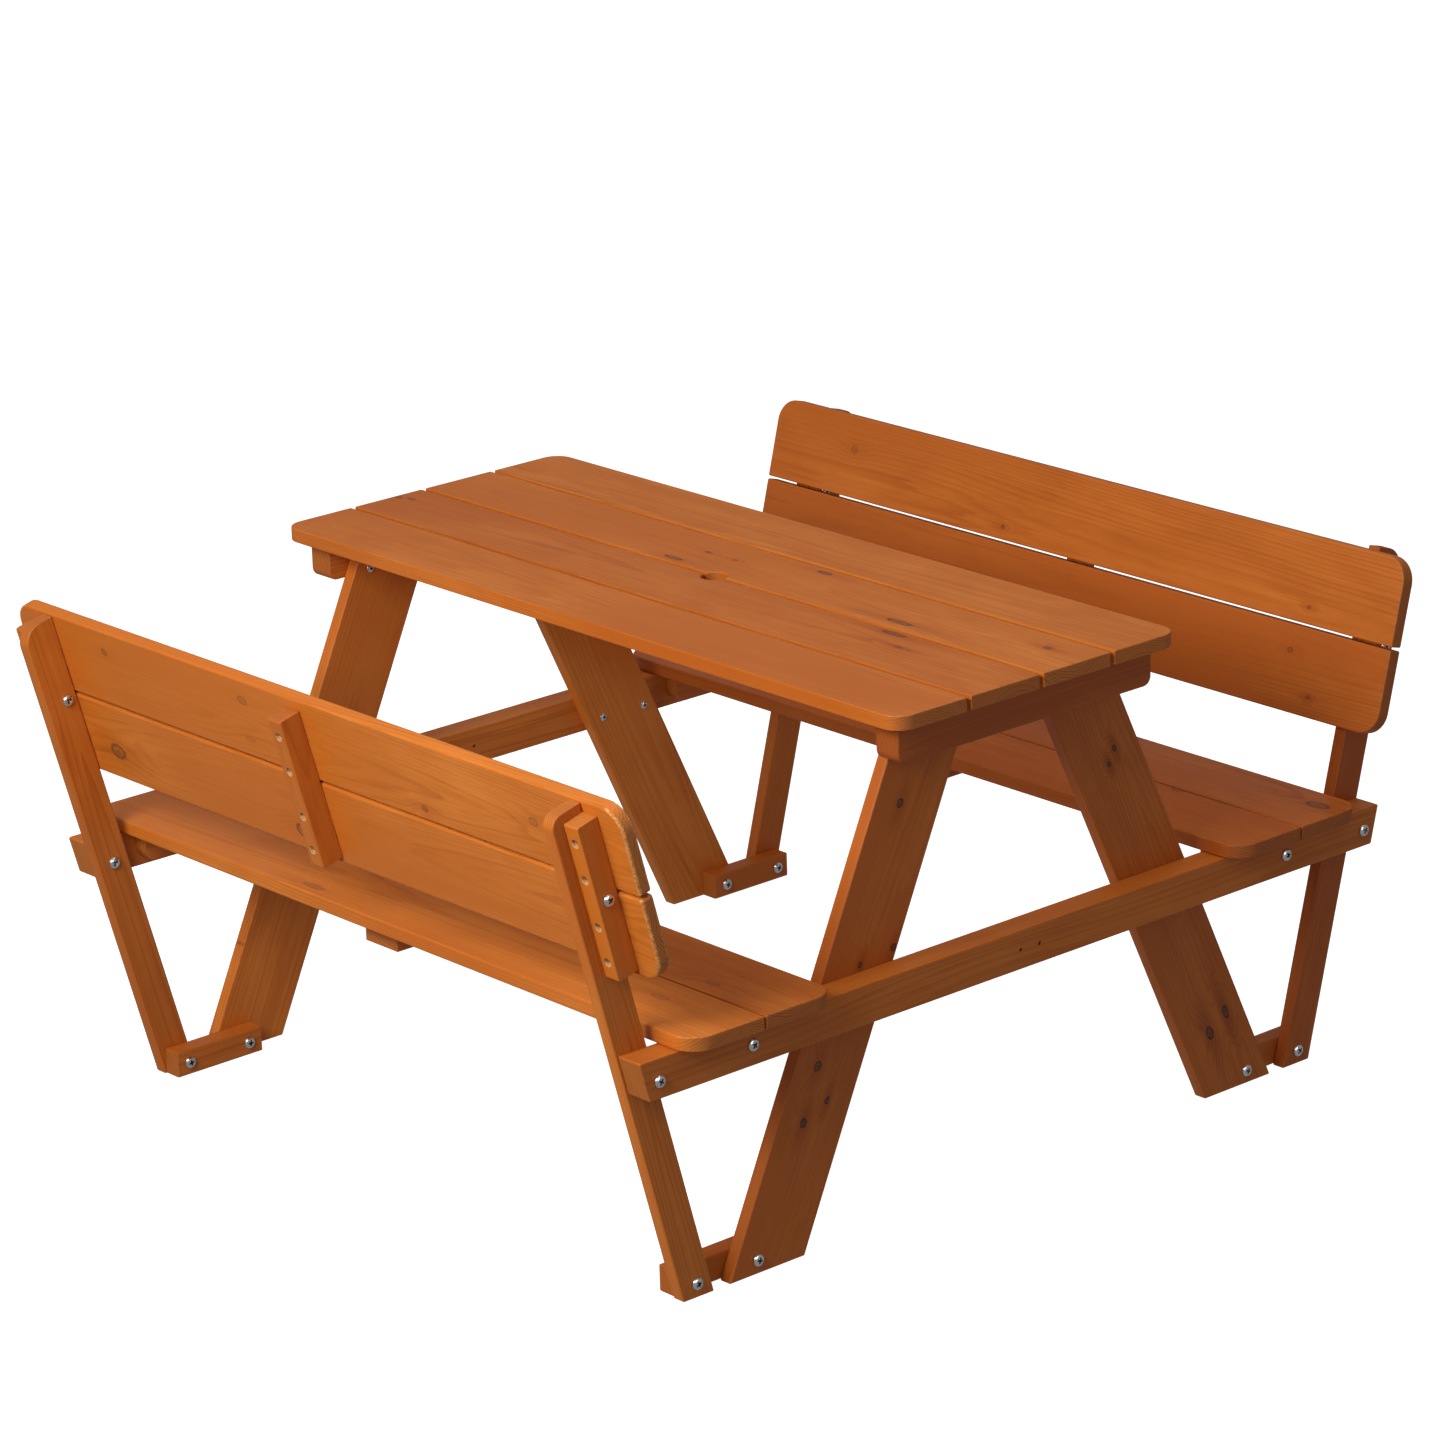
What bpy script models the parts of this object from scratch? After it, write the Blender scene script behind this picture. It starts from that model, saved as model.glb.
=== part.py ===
"""Child-size wooden picnic table with a bench and backrest on each long side.

Metres, +Z up. The origin is on the floor at the centre of the table, +X runs
along the boards to the right-hand end and +Y points to the far bench. Both
ends and both benches are alike, so each piece is drawn once for the right-hand
end of the far bench, and two signs (side along X, bench along Y) place its
copies. A post and its backrest share a frame that leans outwards: its origin
is where the posts' front edges meet the floor, "across" runs from the sitter
towards the back, and "up" runs up the lean.
"""
import math

import bmesh
import bpy
from mathutils import Vector

# Stock
GAP = 0.0003  # clearance between two pieces that touch
BOARD_LENGTH = 0.886
BOARD_WIDTH = 0.085
BOARD_THICKNESS = 0.014
BEARER_THICKNESS = 0.029
BEARER_HEIGHT = 0.038
BEARER_INNER_X = 0.3945
LEG_WIDTH = 0.082
POST_WIDTH = 0.035
BATTEN_DEPTH = 0.020

# Tabletop
TABLE_HEIGHT = 0.500
TOP_BOARDS = 4
TOP_BOARD_GAP = 0.005
TOP_CORNER_RADIUS = 0.020
APRON_HALF_LENGTH = 0.159
APRON_CORNER_RADIUS = 0.009
TOP_BATTEN_WIDTH = 0.047
TOP_BATTEN_HALF_LENGTH = 0.110
PARASOL_HOLE_RADIUS = 0.013

# Legs
LEG_LEAN = math.radians(24.8)
LEG_FOOT_OUTER_Y = 0.3497

# Benches
MIDDLE_BATTEN_X = {"near": -0.009, "far": 0.002}  # the middle battens sit a little off centre
SEAT_HEIGHT = 0.2675
SEAT_INNER_Y = 0.255
SEAT_BOARD_GAP = 0.002
SEAT_CORNER_RADIUS = 0.025
SEAT_BATTEN_LENGTH = 0.142
SEAT_BATTEN_WIDTH = 0.047
SEAT_END_BATTEN_THICKNESS = 0.016
SEAT_END_BATTEN_HEIGHT = 0.031
SEAT_END_BATTEN_RADIUS = 0.014
RAIL_END_AT_FLOOR_Y = 0.402  # where the line of a rail's slanted end would meet the floor
RAIL_CORNER_RADIUS = 0.0015

# Posts and backrests, in their leaning frame
BACK_LEAN = math.radians(15.0)
POST_FOOT_Y = 0.3681
POST_TOPS = {  # height up the lean and radius of the back corner
    "near_left": (0.5105, 0.020),
    "near_right": (0.5105, 0.012),
    "far_left": (0.5105, 0.011),
    "far_right": (0.5155, 0.020),
}
BACK_TOP = 0.5122
BACK_BOARD_GAP = 0.003
BACK_CORNER_RADIUS = 0.024
BACK_BATTEN_WIDTH = 0.0185
BACK_BATTEN_DEPTH = 0.023
BACK_BATTEN_LENGTH = 0.155
BACK_BATTEN_MIDDLE = 0.4240
BACK_BATTEN_RADIUS = 0.002

# Foot braces
BRACE_THICKNESS = 0.020
BRACE_HEIGHT = 0.026
BRACE_FLOOR_GAP = 0.0005
BRACE_INNER_Y = 0.300
BRACE_OUTER_Y = 0.403

# Bolts, each with a pan head on the screw end and on the sleeve nut end
BOLT_RADIUS = 0.0028
BOLT_HOLE_RADIUS = 0.0033
HEAD_RADIUS = 0.006
HEAD_RIM = 0.0014
HEAD_CROWN_RADIUS = 0.0040
HEAD_HEIGHT = 0.0032
BOLT_SIDES = 12
SEAT_BOLT_Y = 0.340
SEAT_BOLT_Z = 0.235
POST_BOLT_Z = 0.232
BRACE_BOLT_Y = 0.3885
RAIL_SMALL_HOLE_RADIUS = 0.002
RAIL_SMALL_HOLE_Y = 0.012

# Edges
CORNER_STEPS = 4
BOARD_EASING = 0.0020
FRAME_EASING = 0.0012

# Faces worked out from the sizes above
TOP_UNDERSIDE = TABLE_HEIGHT - BOARD_THICKNESS
SEAT_UNDERSIDE = SEAT_HEIGHT - BOARD_THICKNESS
SEAT_MIDDLE_Y = SEAT_INNER_Y + BOARD_WIDTH + SEAT_BOARD_GAP / 2
RAIL_TOP = SEAT_UNDERSIDE - GAP
RAIL_BOTTOM = RAIL_TOP - BEARER_HEIGHT
BEARER_OUTER_X = BEARER_INNER_X + BEARER_THICKNESS
UPRIGHT_OUTER_X = BEARER_INNER_X - GAP
UPRIGHT_INNER_X = UPRIGHT_OUTER_X - BOARD_THICKNESS
BACK_BATTEN_OUTER_X = BEARER_INNER_X + BACK_BATTEN_WIDTH
BRACE_OUTER_X = UPRIGHT_INNER_X - GAP
BRACE_INNER_X = BRACE_OUTER_X - BRACE_THICKNESS
SEAT_BATTEN_INNER_X = UPRIGHT_OUTER_X - SEAT_END_BATTEN_THICKNESS
BRACE_BOLT_Z = BRACE_FLOOR_GAP + BRACE_HEIGHT / 2

SIDES = {"left": -1, "right": 1}
BENCHES = {"near": -1, "far": 1}

WOODS = {
    "tabletop_wood": (0.47, 0.165, 0.050),
    "seat_wood": (0.45, 0.150, 0.045),
    "backrest_wood": (0.47, 0.160, 0.047),
    "frame_wood": (0.40, 0.125, 0.036),
    "batten_wood": (0.46, 0.160, 0.047),
}
WOOD_ROUGHNESS = 0.5


def clear_scene():
    for item in list(bpy.data.objects):
        bpy.data.objects.remove(item, do_unlink=True)


def make_material(name, colour, roughness, metallic=0.0):
    material = bpy.data.materials.new(name)
    material.use_nodes = True
    shader = material.node_tree.nodes["Principled BSDF"]
    shader.inputs["Base Color"].default_value = (*colour, 1.0)
    shader.inputs["Roughness"].default_value = roughness
    shader.inputs["Metallic"].default_value = metallic
    material.diffuse_color = (*colour, 1.0)
    return material


def make_materials():
    materials = {name: make_material(name, rgb, WOOD_ROUGHNESS) for name, rgb in WOODS.items()}
    materials["zinc"] = make_material("zinc", (0.62, 0.62, 0.60), 0.3, 1.0)
    return materials


def rounded(corners):
    """Turn (u, v, radius) corners of a convex outline into points, with an arc at each radius."""
    points = []
    count = len(corners)
    for index, (u, v, radius) in enumerate(corners):
        corner = Vector((u, v))
        if radius == 0:
            points.append(corner)
            continue
        back = (Vector(corners[index - 1][:2]) - corner).normalized()
        ahead = (Vector(corners[(index + 1) % count][:2]) - corner).normalized()
        half_angle = back.angle(ahead) / 2
        centre = corner + (back + ahead).normalized() * radius / math.sin(half_angle)
        start = (corner + back * radius / math.tan(half_angle) - centre).normalized()
        end = (corner + ahead * radius / math.tan(half_angle) - centre).normalized()
        for step in range(CORNER_STEPS + 1):
            points.append(centre + start.slerp(end, step / CORNER_STEPS) * radius)
    return points


def rectangle(u0, v0, u1, v1, radii=(0, 0, 0, 0)):
    """A rectangle from (u0, v0), counter-clockwise, with a radius for each corner."""
    return rounded([(u0, v0, radii[0]), (u1, v0, radii[1]), (u1, v1, radii[2]), (u0, v1, radii[3])])


def add_object(name, bm, material, parent=None):
    """Make an object from a closed bmesh, with its origin at the middle of its box."""
    bmesh.ops.recalc_face_normals(bm, faces=bm.faces)
    low = Vector([min(vert.co[axis] for vert in bm.verts) for axis in range(3)])
    high = Vector([max(vert.co[axis] for vert in bm.verts) for axis in range(3)])
    middle = (low + high) / 2
    bmesh.ops.translate(bm, verts=bm.verts, vec=-middle)
    mesh = bpy.data.meshes.new(name)
    bm.to_mesh(mesh)
    bm.free()
    mesh.materials.append(material)
    item = bpy.data.objects.new(name, mesh)
    bpy.context.collection.objects.link(item)
    item.location = middle
    item.parent = parent
    return item


def prism(name, outline, axis, low, high, material, parent=None, easing=FRAME_EASING):
    """Extrude an outline along "x" (outline in Y and Z), "y" (in X and Z) or "z" (in X and Y)."""
    place = {"x": lambda u, v, w: (w, u, v), "y": lambda u, v, w: (u, w, v), "z": lambda u, v, w: (u, v, w)}
    bm = bmesh.new()
    face = bm.faces.new([bm.verts.new(place[axis](point.x, point.y, low)) for point in outline])
    extruded = bmesh.ops.extrude_face_region(bm, geom=[face])
    moved = [part for part in extruded["geom"] if isinstance(part, bmesh.types.BMVert)]
    bmesh.ops.translate(bm, verts=moved, vec=Vector(place[axis](0, 0, high - low)))
    item = add_object(name, bm, material, parent)
    bevel = item.modifiers.new("eased_edges", "BEVEL")
    bevel.width = easing
    bevel.segments = 1
    bevel.limit_method = "ANGLE"
    bevel.angle_limit = math.radians(50)
    return item


def side_prism(name, outline, bench, side, inner_x, outer_x, material, parent=None):
    """A prism along X, drawn at the right-hand end of the far bench and turned to its own place."""
    turned = [Vector((bench * point.x, point.y)) for point in outline]
    low, high = sorted((side * inner_x, side * outer_x))
    return prism(name, turned, "x", low, high, material, parent)


def cylinders(bm, holes, radius):
    """Add a closed cylinder along an axis for each hole (axis, centre, length)."""
    for axis, centre, length in holes:
        made = bmesh.ops.create_cone(
            bm, cap_ends=True, segments=BOLT_SIDES, radius1=radius, radius2=radius, depth=length
        )
        if axis == "x":
            turn = Vector((0, 0, 1)).rotation_difference(Vector((1, 0, 0))).to_matrix()
            bmesh.ops.rotate(bm, verts=made["verts"], cent=(0, 0, 0), matrix=turn)
        bmesh.ops.translate(bm, verts=made["verts"], vec=centre)


def make_cutter(name, sets):
    """One wire object holding every cylinder of some (holes, radius) sets."""
    bm = bmesh.new()
    for holes, radius in sets:
        cylinders(bm, holes, radius)
    mesh = bpy.data.meshes.new(name)
    bm.to_mesh(mesh)
    bm.free()
    cutter = bpy.data.objects.new(name, mesh)
    bpy.context.collection.objects.link(cutter)
    cutter.hide_render = True
    cutter.display_type = "WIRE"
    return cutter


def cut(items, cutter):
    for item in items:
        hole = item.modifiers.new("holes", "BOOLEAN")
        hole.operation = "DIFFERENCE"
        hole.solver = "EXACT"
        hole.object = cutter


def leaning_frame(bench_name, bench):
    """The empty that carries a bench's posts and backrest; its +Y is out for the far bench."""
    frame = bpy.data.objects.new(f"leaning_frame_{bench_name}", None)
    bpy.context.collection.objects.link(frame)
    frame.location = (0, bench * POST_FOOT_Y, 0)
    frame.rotation_euler = (-bench * BACK_LEAN, 0, 0)
    return frame


def leaning_point(across, up):
    """The Y and Z, on the far bench, of a point in the leaning frame."""
    sine, cosine = math.sin(BACK_LEAN), math.cos(BACK_LEAN)
    return POST_FOOT_Y + cosine * across + sine * up, cosine * up - sine * across


def make_tabletop(materials):
    pitch = BOARD_WIDTH + TOP_BOARD_GAP
    first_y = -pitch * (TOP_BOARDS - 1) / 2
    half_length = BOARD_LENGTH / 2
    boards = []
    for number in range(TOP_BOARDS):
        low_y = first_y + number * pitch - BOARD_WIDTH / 2
        near = TOP_CORNER_RADIUS if number == 0 else 0
        far = TOP_CORNER_RADIUS if number == TOP_BOARDS - 1 else 0
        outline = rectangle(-half_length, low_y, half_length, low_y + BOARD_WIDTH, (near, near, far, far))
        boards.append(
            prism(
                f"tabletop_board_{number + 1}", outline, "z", TOP_UNDERSIDE, TABLE_HEIGHT,
                materials["tabletop_wood"], easing=BOARD_EASING,
            )
        )
    return boards


def make_top_battens(materials):
    """The apron under each end of the tabletop and the batten across its middle."""
    top = TOP_UNDERSIDE - GAP
    radius = APRON_CORNER_RADIUS
    apron = rectangle(
        -APRON_HALF_LENGTH, top - BEARER_HEIGHT, APRON_HALF_LENGTH, top, (radius, radius, 0, 0)
    )
    for side_name, side in SIDES.items():
        side_prism(
            f"top_apron_{side_name}", apron, 1, side, BEARER_INNER_X, BEARER_OUTER_X,
            materials["frame_wood"],
        )
    half_width = TOP_BATTEN_WIDTH / 2
    middle = rectangle(-half_width, -TOP_BATTEN_HALF_LENGTH, half_width, TOP_BATTEN_HALF_LENGTH)
    return prism("top_middle_batten", middle, "z", top - BATTEN_DEPTH, top, materials["batten_wood"])


def make_leg(name, bench, side, materials):
    top = TOP_UNDERSIDE - GAP
    foot_inner_y = LEG_FOOT_OUTER_Y - LEG_WIDTH / math.cos(LEG_LEAN)
    drift = top * math.tan(LEG_LEAN)
    outline = rounded([
        (foot_inner_y, 0, 0),
        (LEG_FOOT_OUTER_Y, 0, 0),
        (LEG_FOOT_OUTER_Y - drift, top, 0),
        (foot_inner_y - drift, top, 0),
    ])
    side_prism(name, outline, bench, side, UPRIGHT_INNER_X, UPRIGHT_OUTER_X, materials["frame_wood"])


def make_rail(name, side, materials):
    slope = math.tan(BACK_LEAN)
    low_y = RAIL_END_AT_FLOOR_Y + RAIL_BOTTOM * slope
    high_y = RAIL_END_AT_FLOOR_Y + RAIL_TOP * slope
    radius = RAIL_CORNER_RADIUS
    outline = rounded([
        (-low_y, RAIL_BOTTOM, radius),
        (low_y, RAIL_BOTTOM, radius),
        (high_y, RAIL_TOP, radius),
        (-high_y, RAIL_TOP, radius),
    ])
    return side_prism(name, outline, 1, side, BEARER_INNER_X, BEARER_OUTER_X, materials["frame_wood"])


def make_seat(bench_name, bench, materials):
    """Two boards side by side, rounded at the four outer corners of the seat."""
    half_length = BOARD_LENGTH / 2
    radius = SEAT_CORNER_RADIUS
    for place, low in (("inner", SEAT_INNER_Y), ("outer", SEAT_INNER_Y + BOARD_WIDTH + SEAT_BOARD_GAP)):
        edges = sorted((bench * low, bench * (low + BOARD_WIDTH)))
        round_low = (place == "inner") == (bench > 0)
        radii = (radius, radius, 0, 0) if round_low else (0, 0, radius, radius)
        outline = rectangle(-half_length, edges[0], half_length, edges[1], radii)
        prism(
            f"seat_board_{bench_name}_{place}", outline, "z", SEAT_UNDERSIDE, SEAT_HEIGHT,
            materials["seat_wood"], easing=BOARD_EASING,
        )


def make_seat_battens(bench_name, bench, materials):
    """A batten under the middle of the seat, and one against each rail. Returns the end ones."""
    top = SEAT_UNDERSIDE - GAP
    half_width = SEAT_BATTEN_WIDTH / 2
    low_y = SEAT_MIDDLE_Y - SEAT_BATTEN_LENGTH / 2
    high_y = SEAT_MIDDLE_Y + SEAT_BATTEN_LENGTH / 2
    edges = sorted((bench * low_y, bench * high_y))
    middle_x = MIDDLE_BATTEN_X[bench_name]
    middle = rectangle(middle_x - half_width, edges[0], middle_x + half_width, edges[1])
    wood = materials["batten_wood"]
    prism(f"seat_batten_{bench_name}_middle", middle, "z", top - BATTEN_DEPTH, top, wood)
    radius = SEAT_END_BATTEN_RADIUS
    end = rectangle(low_y, top - SEAT_END_BATTEN_HEIGHT, high_y, top, (radius, radius, 0, 0))
    return [
        side_prism(
            f"seat_batten_{bench_name}_{side_name}", end, bench, side,
            SEAT_BATTEN_INNER_X, UPRIGHT_OUTER_X, wood,
        )
        for side_name, side in SIDES.items()
    ]


def make_backrest(bench_name, bench, frame, materials):
    """Two boards in front of the posts, in the leaning frame."""
    half_length = BOARD_LENGTH / 2
    radius = BACK_CORNER_RADIUS
    lower_top = BACK_TOP - BOARD_WIDTH - BACK_BOARD_GAP
    faces = sorted((-bench * GAP, -bench * (BOARD_THICKNESS + GAP)))
    for place, top, radii in (("upper", BACK_TOP, (0, 0, radius, radius)),
                              ("lower", lower_top, (radius, radius, 0, 0))):
        outline = rectangle(-half_length, top - BOARD_WIDTH, half_length, top, radii)
        prism(
            f"back_board_{bench_name}_{place}", outline, "y", faces[0], faces[1],
            materials["backrest_wood"], frame, BOARD_EASING,
        )


def make_back_battens(bench_name, bench, frame, materials):
    """Three battens on the back of the boards, rounded at their back corners. Returns the end ones."""
    radius = BACK_BATTEN_RADIUS
    low = BACK_BATTEN_MIDDLE - BACK_BATTEN_LENGTH / 2
    outline = rectangle(0, low, BACK_BATTEN_DEPTH, low + BACK_BATTEN_LENGTH, (0, radius, radius, 0))
    wood = materials["batten_wood"]
    half_width = BACK_BATTEN_WIDTH / 2
    middle_x = MIDDLE_BATTEN_X[bench_name]
    side_prism(
        f"back_batten_{bench_name}_middle", outline, bench, 1,
        middle_x - half_width, middle_x + half_width, wood, frame,
    )
    return [
        side_prism(
            f"back_batten_{bench_name}_{side_name}", outline, bench, side,
            BEARER_INNER_X, BACK_BATTEN_OUTER_X, wood, frame,
        )
        for side_name, side in SIDES.items()
    ]


def make_post(place, bench, side, frame, materials):
    """A post whose foot is cut level with the floor and whose top back corner is rounded."""
    top, radius = POST_TOPS[place]
    outline = rounded([
        (0, 0, 0),
        (POST_WIDTH, POST_WIDTH * math.tan(BACK_LEAN), 0),
        (POST_WIDTH, top, radius),
        (0, top, 0),
    ])
    return side_prism(
        f"post_{place}", outline, bench, side, UPRIGHT_INNER_X, UPRIGHT_OUTER_X, materials["frame_wood"],
        frame,
    )


def make_brace(name, bench, side, materials):
    outline = rectangle(
        BRACE_INNER_Y, BRACE_FLOOR_GAP, BRACE_OUTER_Y, BRACE_FLOOR_GAP + BRACE_HEIGHT
    )
    return side_prism(name, outline, bench, side, BRACE_INNER_X, BRACE_OUTER_X, materials["frame_wood"])


def make_bolt(name, low_x, high_x, y, z, material):
    """A bolt along X with a low domed head beyond each of the two faces it clamps."""
    profile = []
    for end, face in ((-1, low_x - GAP), (1, high_x + GAP)):
        steps = [
            (face, BOLT_RADIUS),
            (face, HEAD_RADIUS),
            (face + end * HEAD_RIM, HEAD_RADIUS),
            (face + end * HEAD_HEIGHT, HEAD_CROWN_RADIUS),
        ]
        profile += steps if end > 0 else steps[::-1]
    bm = bmesh.new()
    rings = []
    for x, radius in profile:
        angles = [2 * math.pi * step / BOLT_SIDES for step in range(BOLT_SIDES)]
        rings.append([bm.verts.new((x, y + radius * math.cos(a), z + radius * math.sin(a))) for a in angles])
    for first, second in zip(rings, rings[1:]):
        for step in range(BOLT_SIDES):
            after = (step + 1) % BOLT_SIDES
            bm.faces.new((first[step], first[after], second[after], second[step]))
    bm.faces.new(rings[0])
    bm.faces.new(rings[-1])
    return add_object(name, bm, material)


def bolt_plan():
    """Each kind of bolt: its name, the two faces it clamps, and its Y and Z on the far bench."""
    post_across = POST_WIDTH / 2
    post_up = (POST_BOLT_Z + post_across * math.sin(BACK_LEAN)) / math.cos(BACK_LEAN)
    return (
        ("post_rail_bolt", UPRIGHT_INNER_X, BEARER_OUTER_X, *leaning_point(post_across, post_up)),
        ("seat_rail_bolt", SEAT_BATTEN_INNER_X, BEARER_OUTER_X, SEAT_BOLT_Y, SEAT_BOLT_Z),
        ("back_batten_bolt", UPRIGHT_INNER_X, BACK_BATTEN_OUTER_X,
         *leaning_point(BACK_BATTEN_DEPTH / 2, BACK_BATTEN_MIDDLE)),
        ("brace_post_bolt", BRACE_INNER_X, UPRIGHT_OUTER_X, BRACE_BOLT_Y, BRACE_BOLT_Z),
    )


def make_bolts(materials):
    """Every bolt, and the clearance holes they need as (axis, centre, length)."""
    holes = []
    for kind, inner_x, outer_x, y, z in bolt_plan():
        for bench_name, bench in BENCHES.items():
            for side_name, side in SIDES.items():
                low_x, high_x = sorted((side * inner_x, side * outer_x))
                name = f"{kind}_{bench_name}_{side_name}"
                make_bolt(name, low_x, high_x, bench * y, z, materials["zinc"])
                centre = Vector(((low_x + high_x) / 2, bench * y, z))
                holes.append(("x", centre, (high_x - low_x) + 0.010))
    return holes


def rail_small_holes():
    """The two spare fixing holes through the middle of each rail."""
    middle_x = (BEARER_INNER_X + BEARER_OUTER_X) / 2
    middle_z = (RAIL_TOP + RAIL_BOTTOM) / 2
    return [
        ("x", Vector((side * middle_x, step * RAIL_SMALL_HOLE_Y, middle_z)), BEARER_THICKNESS + 0.010)
        for side in SIDES.values()
        for step in (-1, 1)
    ]


def main():
    clear_scene()
    materials = make_materials()
    boards = make_tabletop(materials)
    top_batten = make_top_battens(materials)
    drilled = [make_rail(f"rail_{side_name}", side, materials) for side_name, side in SIDES.items()]
    for bench_name, bench in BENCHES.items():
        frame = leaning_frame(bench_name, bench)
        make_seat(bench_name, bench, materials)
        make_backrest(bench_name, bench, frame, materials)
        drilled += make_seat_battens(bench_name, bench, materials)
        drilled += make_back_battens(bench_name, bench, frame, materials)
        for side_name, side in SIDES.items():
            place = f"{bench_name}_{side_name}"
            make_leg(f"leg_{place}", bench, side, materials)
            drilled.append(make_post(place, bench, side, frame, materials))
            drilled.append(make_brace(f"brace_{place}", bench, side, materials))
    bolt_holes = make_bolts(materials)
    cutter = make_cutter(
        "bolt_holes", [(bolt_holes, BOLT_HOLE_RADIUS), (rail_small_holes(), RAIL_SMALL_HOLE_RADIUS)]
    )
    cut(drilled, cutter)
    parasol_centre = Vector((0, 0, TABLE_HEIGHT - (BOARD_THICKNESS + BATTEN_DEPTH) / 2))
    parasol = make_cutter(
        "parasol_hole",
        [([("z", parasol_centre, BOARD_THICKNESS + BATTEN_DEPTH + 0.020)], PARASOL_HOLE_RADIUS)],
    )
    middle = TOP_BOARDS // 2
    cut([boards[middle - 1], boards[middle], top_batten], parasol)


main()
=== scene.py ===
"""Looks of the child-size wooden picnic table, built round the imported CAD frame.

Every wooden CAD node is replaced by a finished piece of the same size, with
rounded edges, drilled and countersunk holes and solid wood grain that runs
through the piece, so that faces, edges and end grain agree. Every bolt is
replaced by one with cross-recessed pan heads, and the screws that the CAD
leaves out are added here.

A piece is drawn flat in its own frame, as an outline in "along" (the grain)
and "across", extruded through "depth", and is then turned to its place.
Metres, +Z up. right is +X and far is +Y.
"""
import math
import random

import bmesh
import bpy
import numpy as np
from mathutils import Matrix, Vector


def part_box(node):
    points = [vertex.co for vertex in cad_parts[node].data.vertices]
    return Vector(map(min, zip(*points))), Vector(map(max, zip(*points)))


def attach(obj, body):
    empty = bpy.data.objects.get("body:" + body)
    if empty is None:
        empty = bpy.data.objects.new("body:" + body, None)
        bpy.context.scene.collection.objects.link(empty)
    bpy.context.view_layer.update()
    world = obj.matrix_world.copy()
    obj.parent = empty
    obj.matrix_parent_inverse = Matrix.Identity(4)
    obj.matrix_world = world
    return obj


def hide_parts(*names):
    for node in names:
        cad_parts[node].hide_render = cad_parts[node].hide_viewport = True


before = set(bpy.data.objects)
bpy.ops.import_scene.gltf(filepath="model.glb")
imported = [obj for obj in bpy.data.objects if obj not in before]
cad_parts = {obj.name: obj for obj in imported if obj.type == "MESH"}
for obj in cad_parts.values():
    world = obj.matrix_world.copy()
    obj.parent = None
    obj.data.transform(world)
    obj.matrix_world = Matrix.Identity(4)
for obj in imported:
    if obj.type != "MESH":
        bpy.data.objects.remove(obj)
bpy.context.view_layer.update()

# Sizes of the pieces, as in the CAD
GAP = 0.0003
BOARD_LENGTH = 0.886
BOARD_WIDTH = 0.085
BOARD_THICKNESS = 0.014
LEG_WIDTH = 0.082
LEG_LEAN = math.radians(24.8)
LEG_FOOT_OUTER_Y = 0.3497
POST_WIDTH = 0.035
POST_TOPS = {  # height up the lean and radius of the back corner
    "near_left": (0.5105, 0.020),
    "near_right": (0.5105, 0.012),
    "far_left": (0.5105, 0.011),
    "far_right": (0.5155, 0.020),
}
BACK_LEAN = math.radians(15.0)
BACK_TOP = 0.5122
BACK_CORNER_RADIUS = 0.024
BACK_BATTEN_LENGTH = 0.155
BACK_BATTEN_WIDTH = 0.0185
BACK_BATTEN_DEPTH = 0.023
BACK_BATTEN_MIDDLE = 0.4240
BACK_BATTEN_RADIUS = 0.002
TOP_CORNER_RADIUS = 0.020
SEAT_CORNER_RADIUS = 0.025
APRON_CORNER_RADIUS = 0.009
SEAT_END_BATTEN_RADIUS = 0.014
RAIL_CORNER_RADIUS = 0.0015
RAIL_END_AT_FLOOR_Y = 0.402
PARASOL_HOLE_RADIUS = 0.013
BRACE_LEG_BOLT_Y = 0.316
BOLT_HEAD_RADIUS = 0.006
BOLT_HEAD_HEIGHT = 0.0032
BOLT_SHANK_RADIUS = 0.0028
BOLT_HOLE_RADIUS = 0.0033
RAIL_SMALL_HOLE_RADIUS = 0.0019
RAIL_SMALL_HOLE_Y = 0.012

# Finish of the wood
BOARD_ROUNDING = (0.0017, 0.0013)
TOP_ROUNDING = (0.0012, 0.0010)
ROUGH_END_ROUNDING = (0.0023, 0.0032)  # radius along the grain, radius across it
FRAME_ROUNDING = (0.0016, 0.0010)
BATTEN_ROUNDING = (0.0008, 0.0007)
ROUNDING_SEGMENTS = 4
CORNER_STEPS = 12
BEVEL_ANGLE = math.radians(50)
SHARP_ANGLE = math.radians(38)
ROUND_STEPS = 40

# Screws through each leg into its rail and into the apron, in countersinks
LEG_SCREW_RADIUS = 0.0043
LEG_SCREWS = ((0.1724, 0.230), (0.2277, 0.230), (0.1196, 0.4557), (0.0690, 0.4557))  # Y and Z, far bench
COUNTERSINK_CORE = 0.45  # radius below the cone, as a share of the head's
COUNTERSINK_DEPTH = 0.012

# Screws whose heads sit at the bottom of round pockets
SUNK_SCREW_RADIUS = 0.0030
SUNK_SCREW_DEPTH = 0.0070
POCKET_RADIUS = 0.0042
POCKET_MOUTH_RADIUS = 0.0045
POCKET_FLOOR_LIP = 0.0004
POCKET_FLOOR_DIP = 0.0026
PILOT_RADIUS = 0.0015
PILOT_DEPTH = 0.014
BACK_BATTEN_SCREWS = (0.3645, 0.4000, 0.4475, 0.4840)  # heights up the lean
SEAT_END_BATTEN_SCREWS = (-0.020, 0.020)
SEAT_MIDDLE_BATTEN_SCREWS = (-0.056, -0.020, 0.020, 0.056)
SEAT_MIDDLE_SCREW_X = 0.010
APRON_SCREW_SPREAD = 0.97  # share of the distance from the table's middle to a board's
TOP_BATTEN_SCREW_SPREAD = 0.72
TOP_BATTEN_SCREW_X = 0.012

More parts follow.
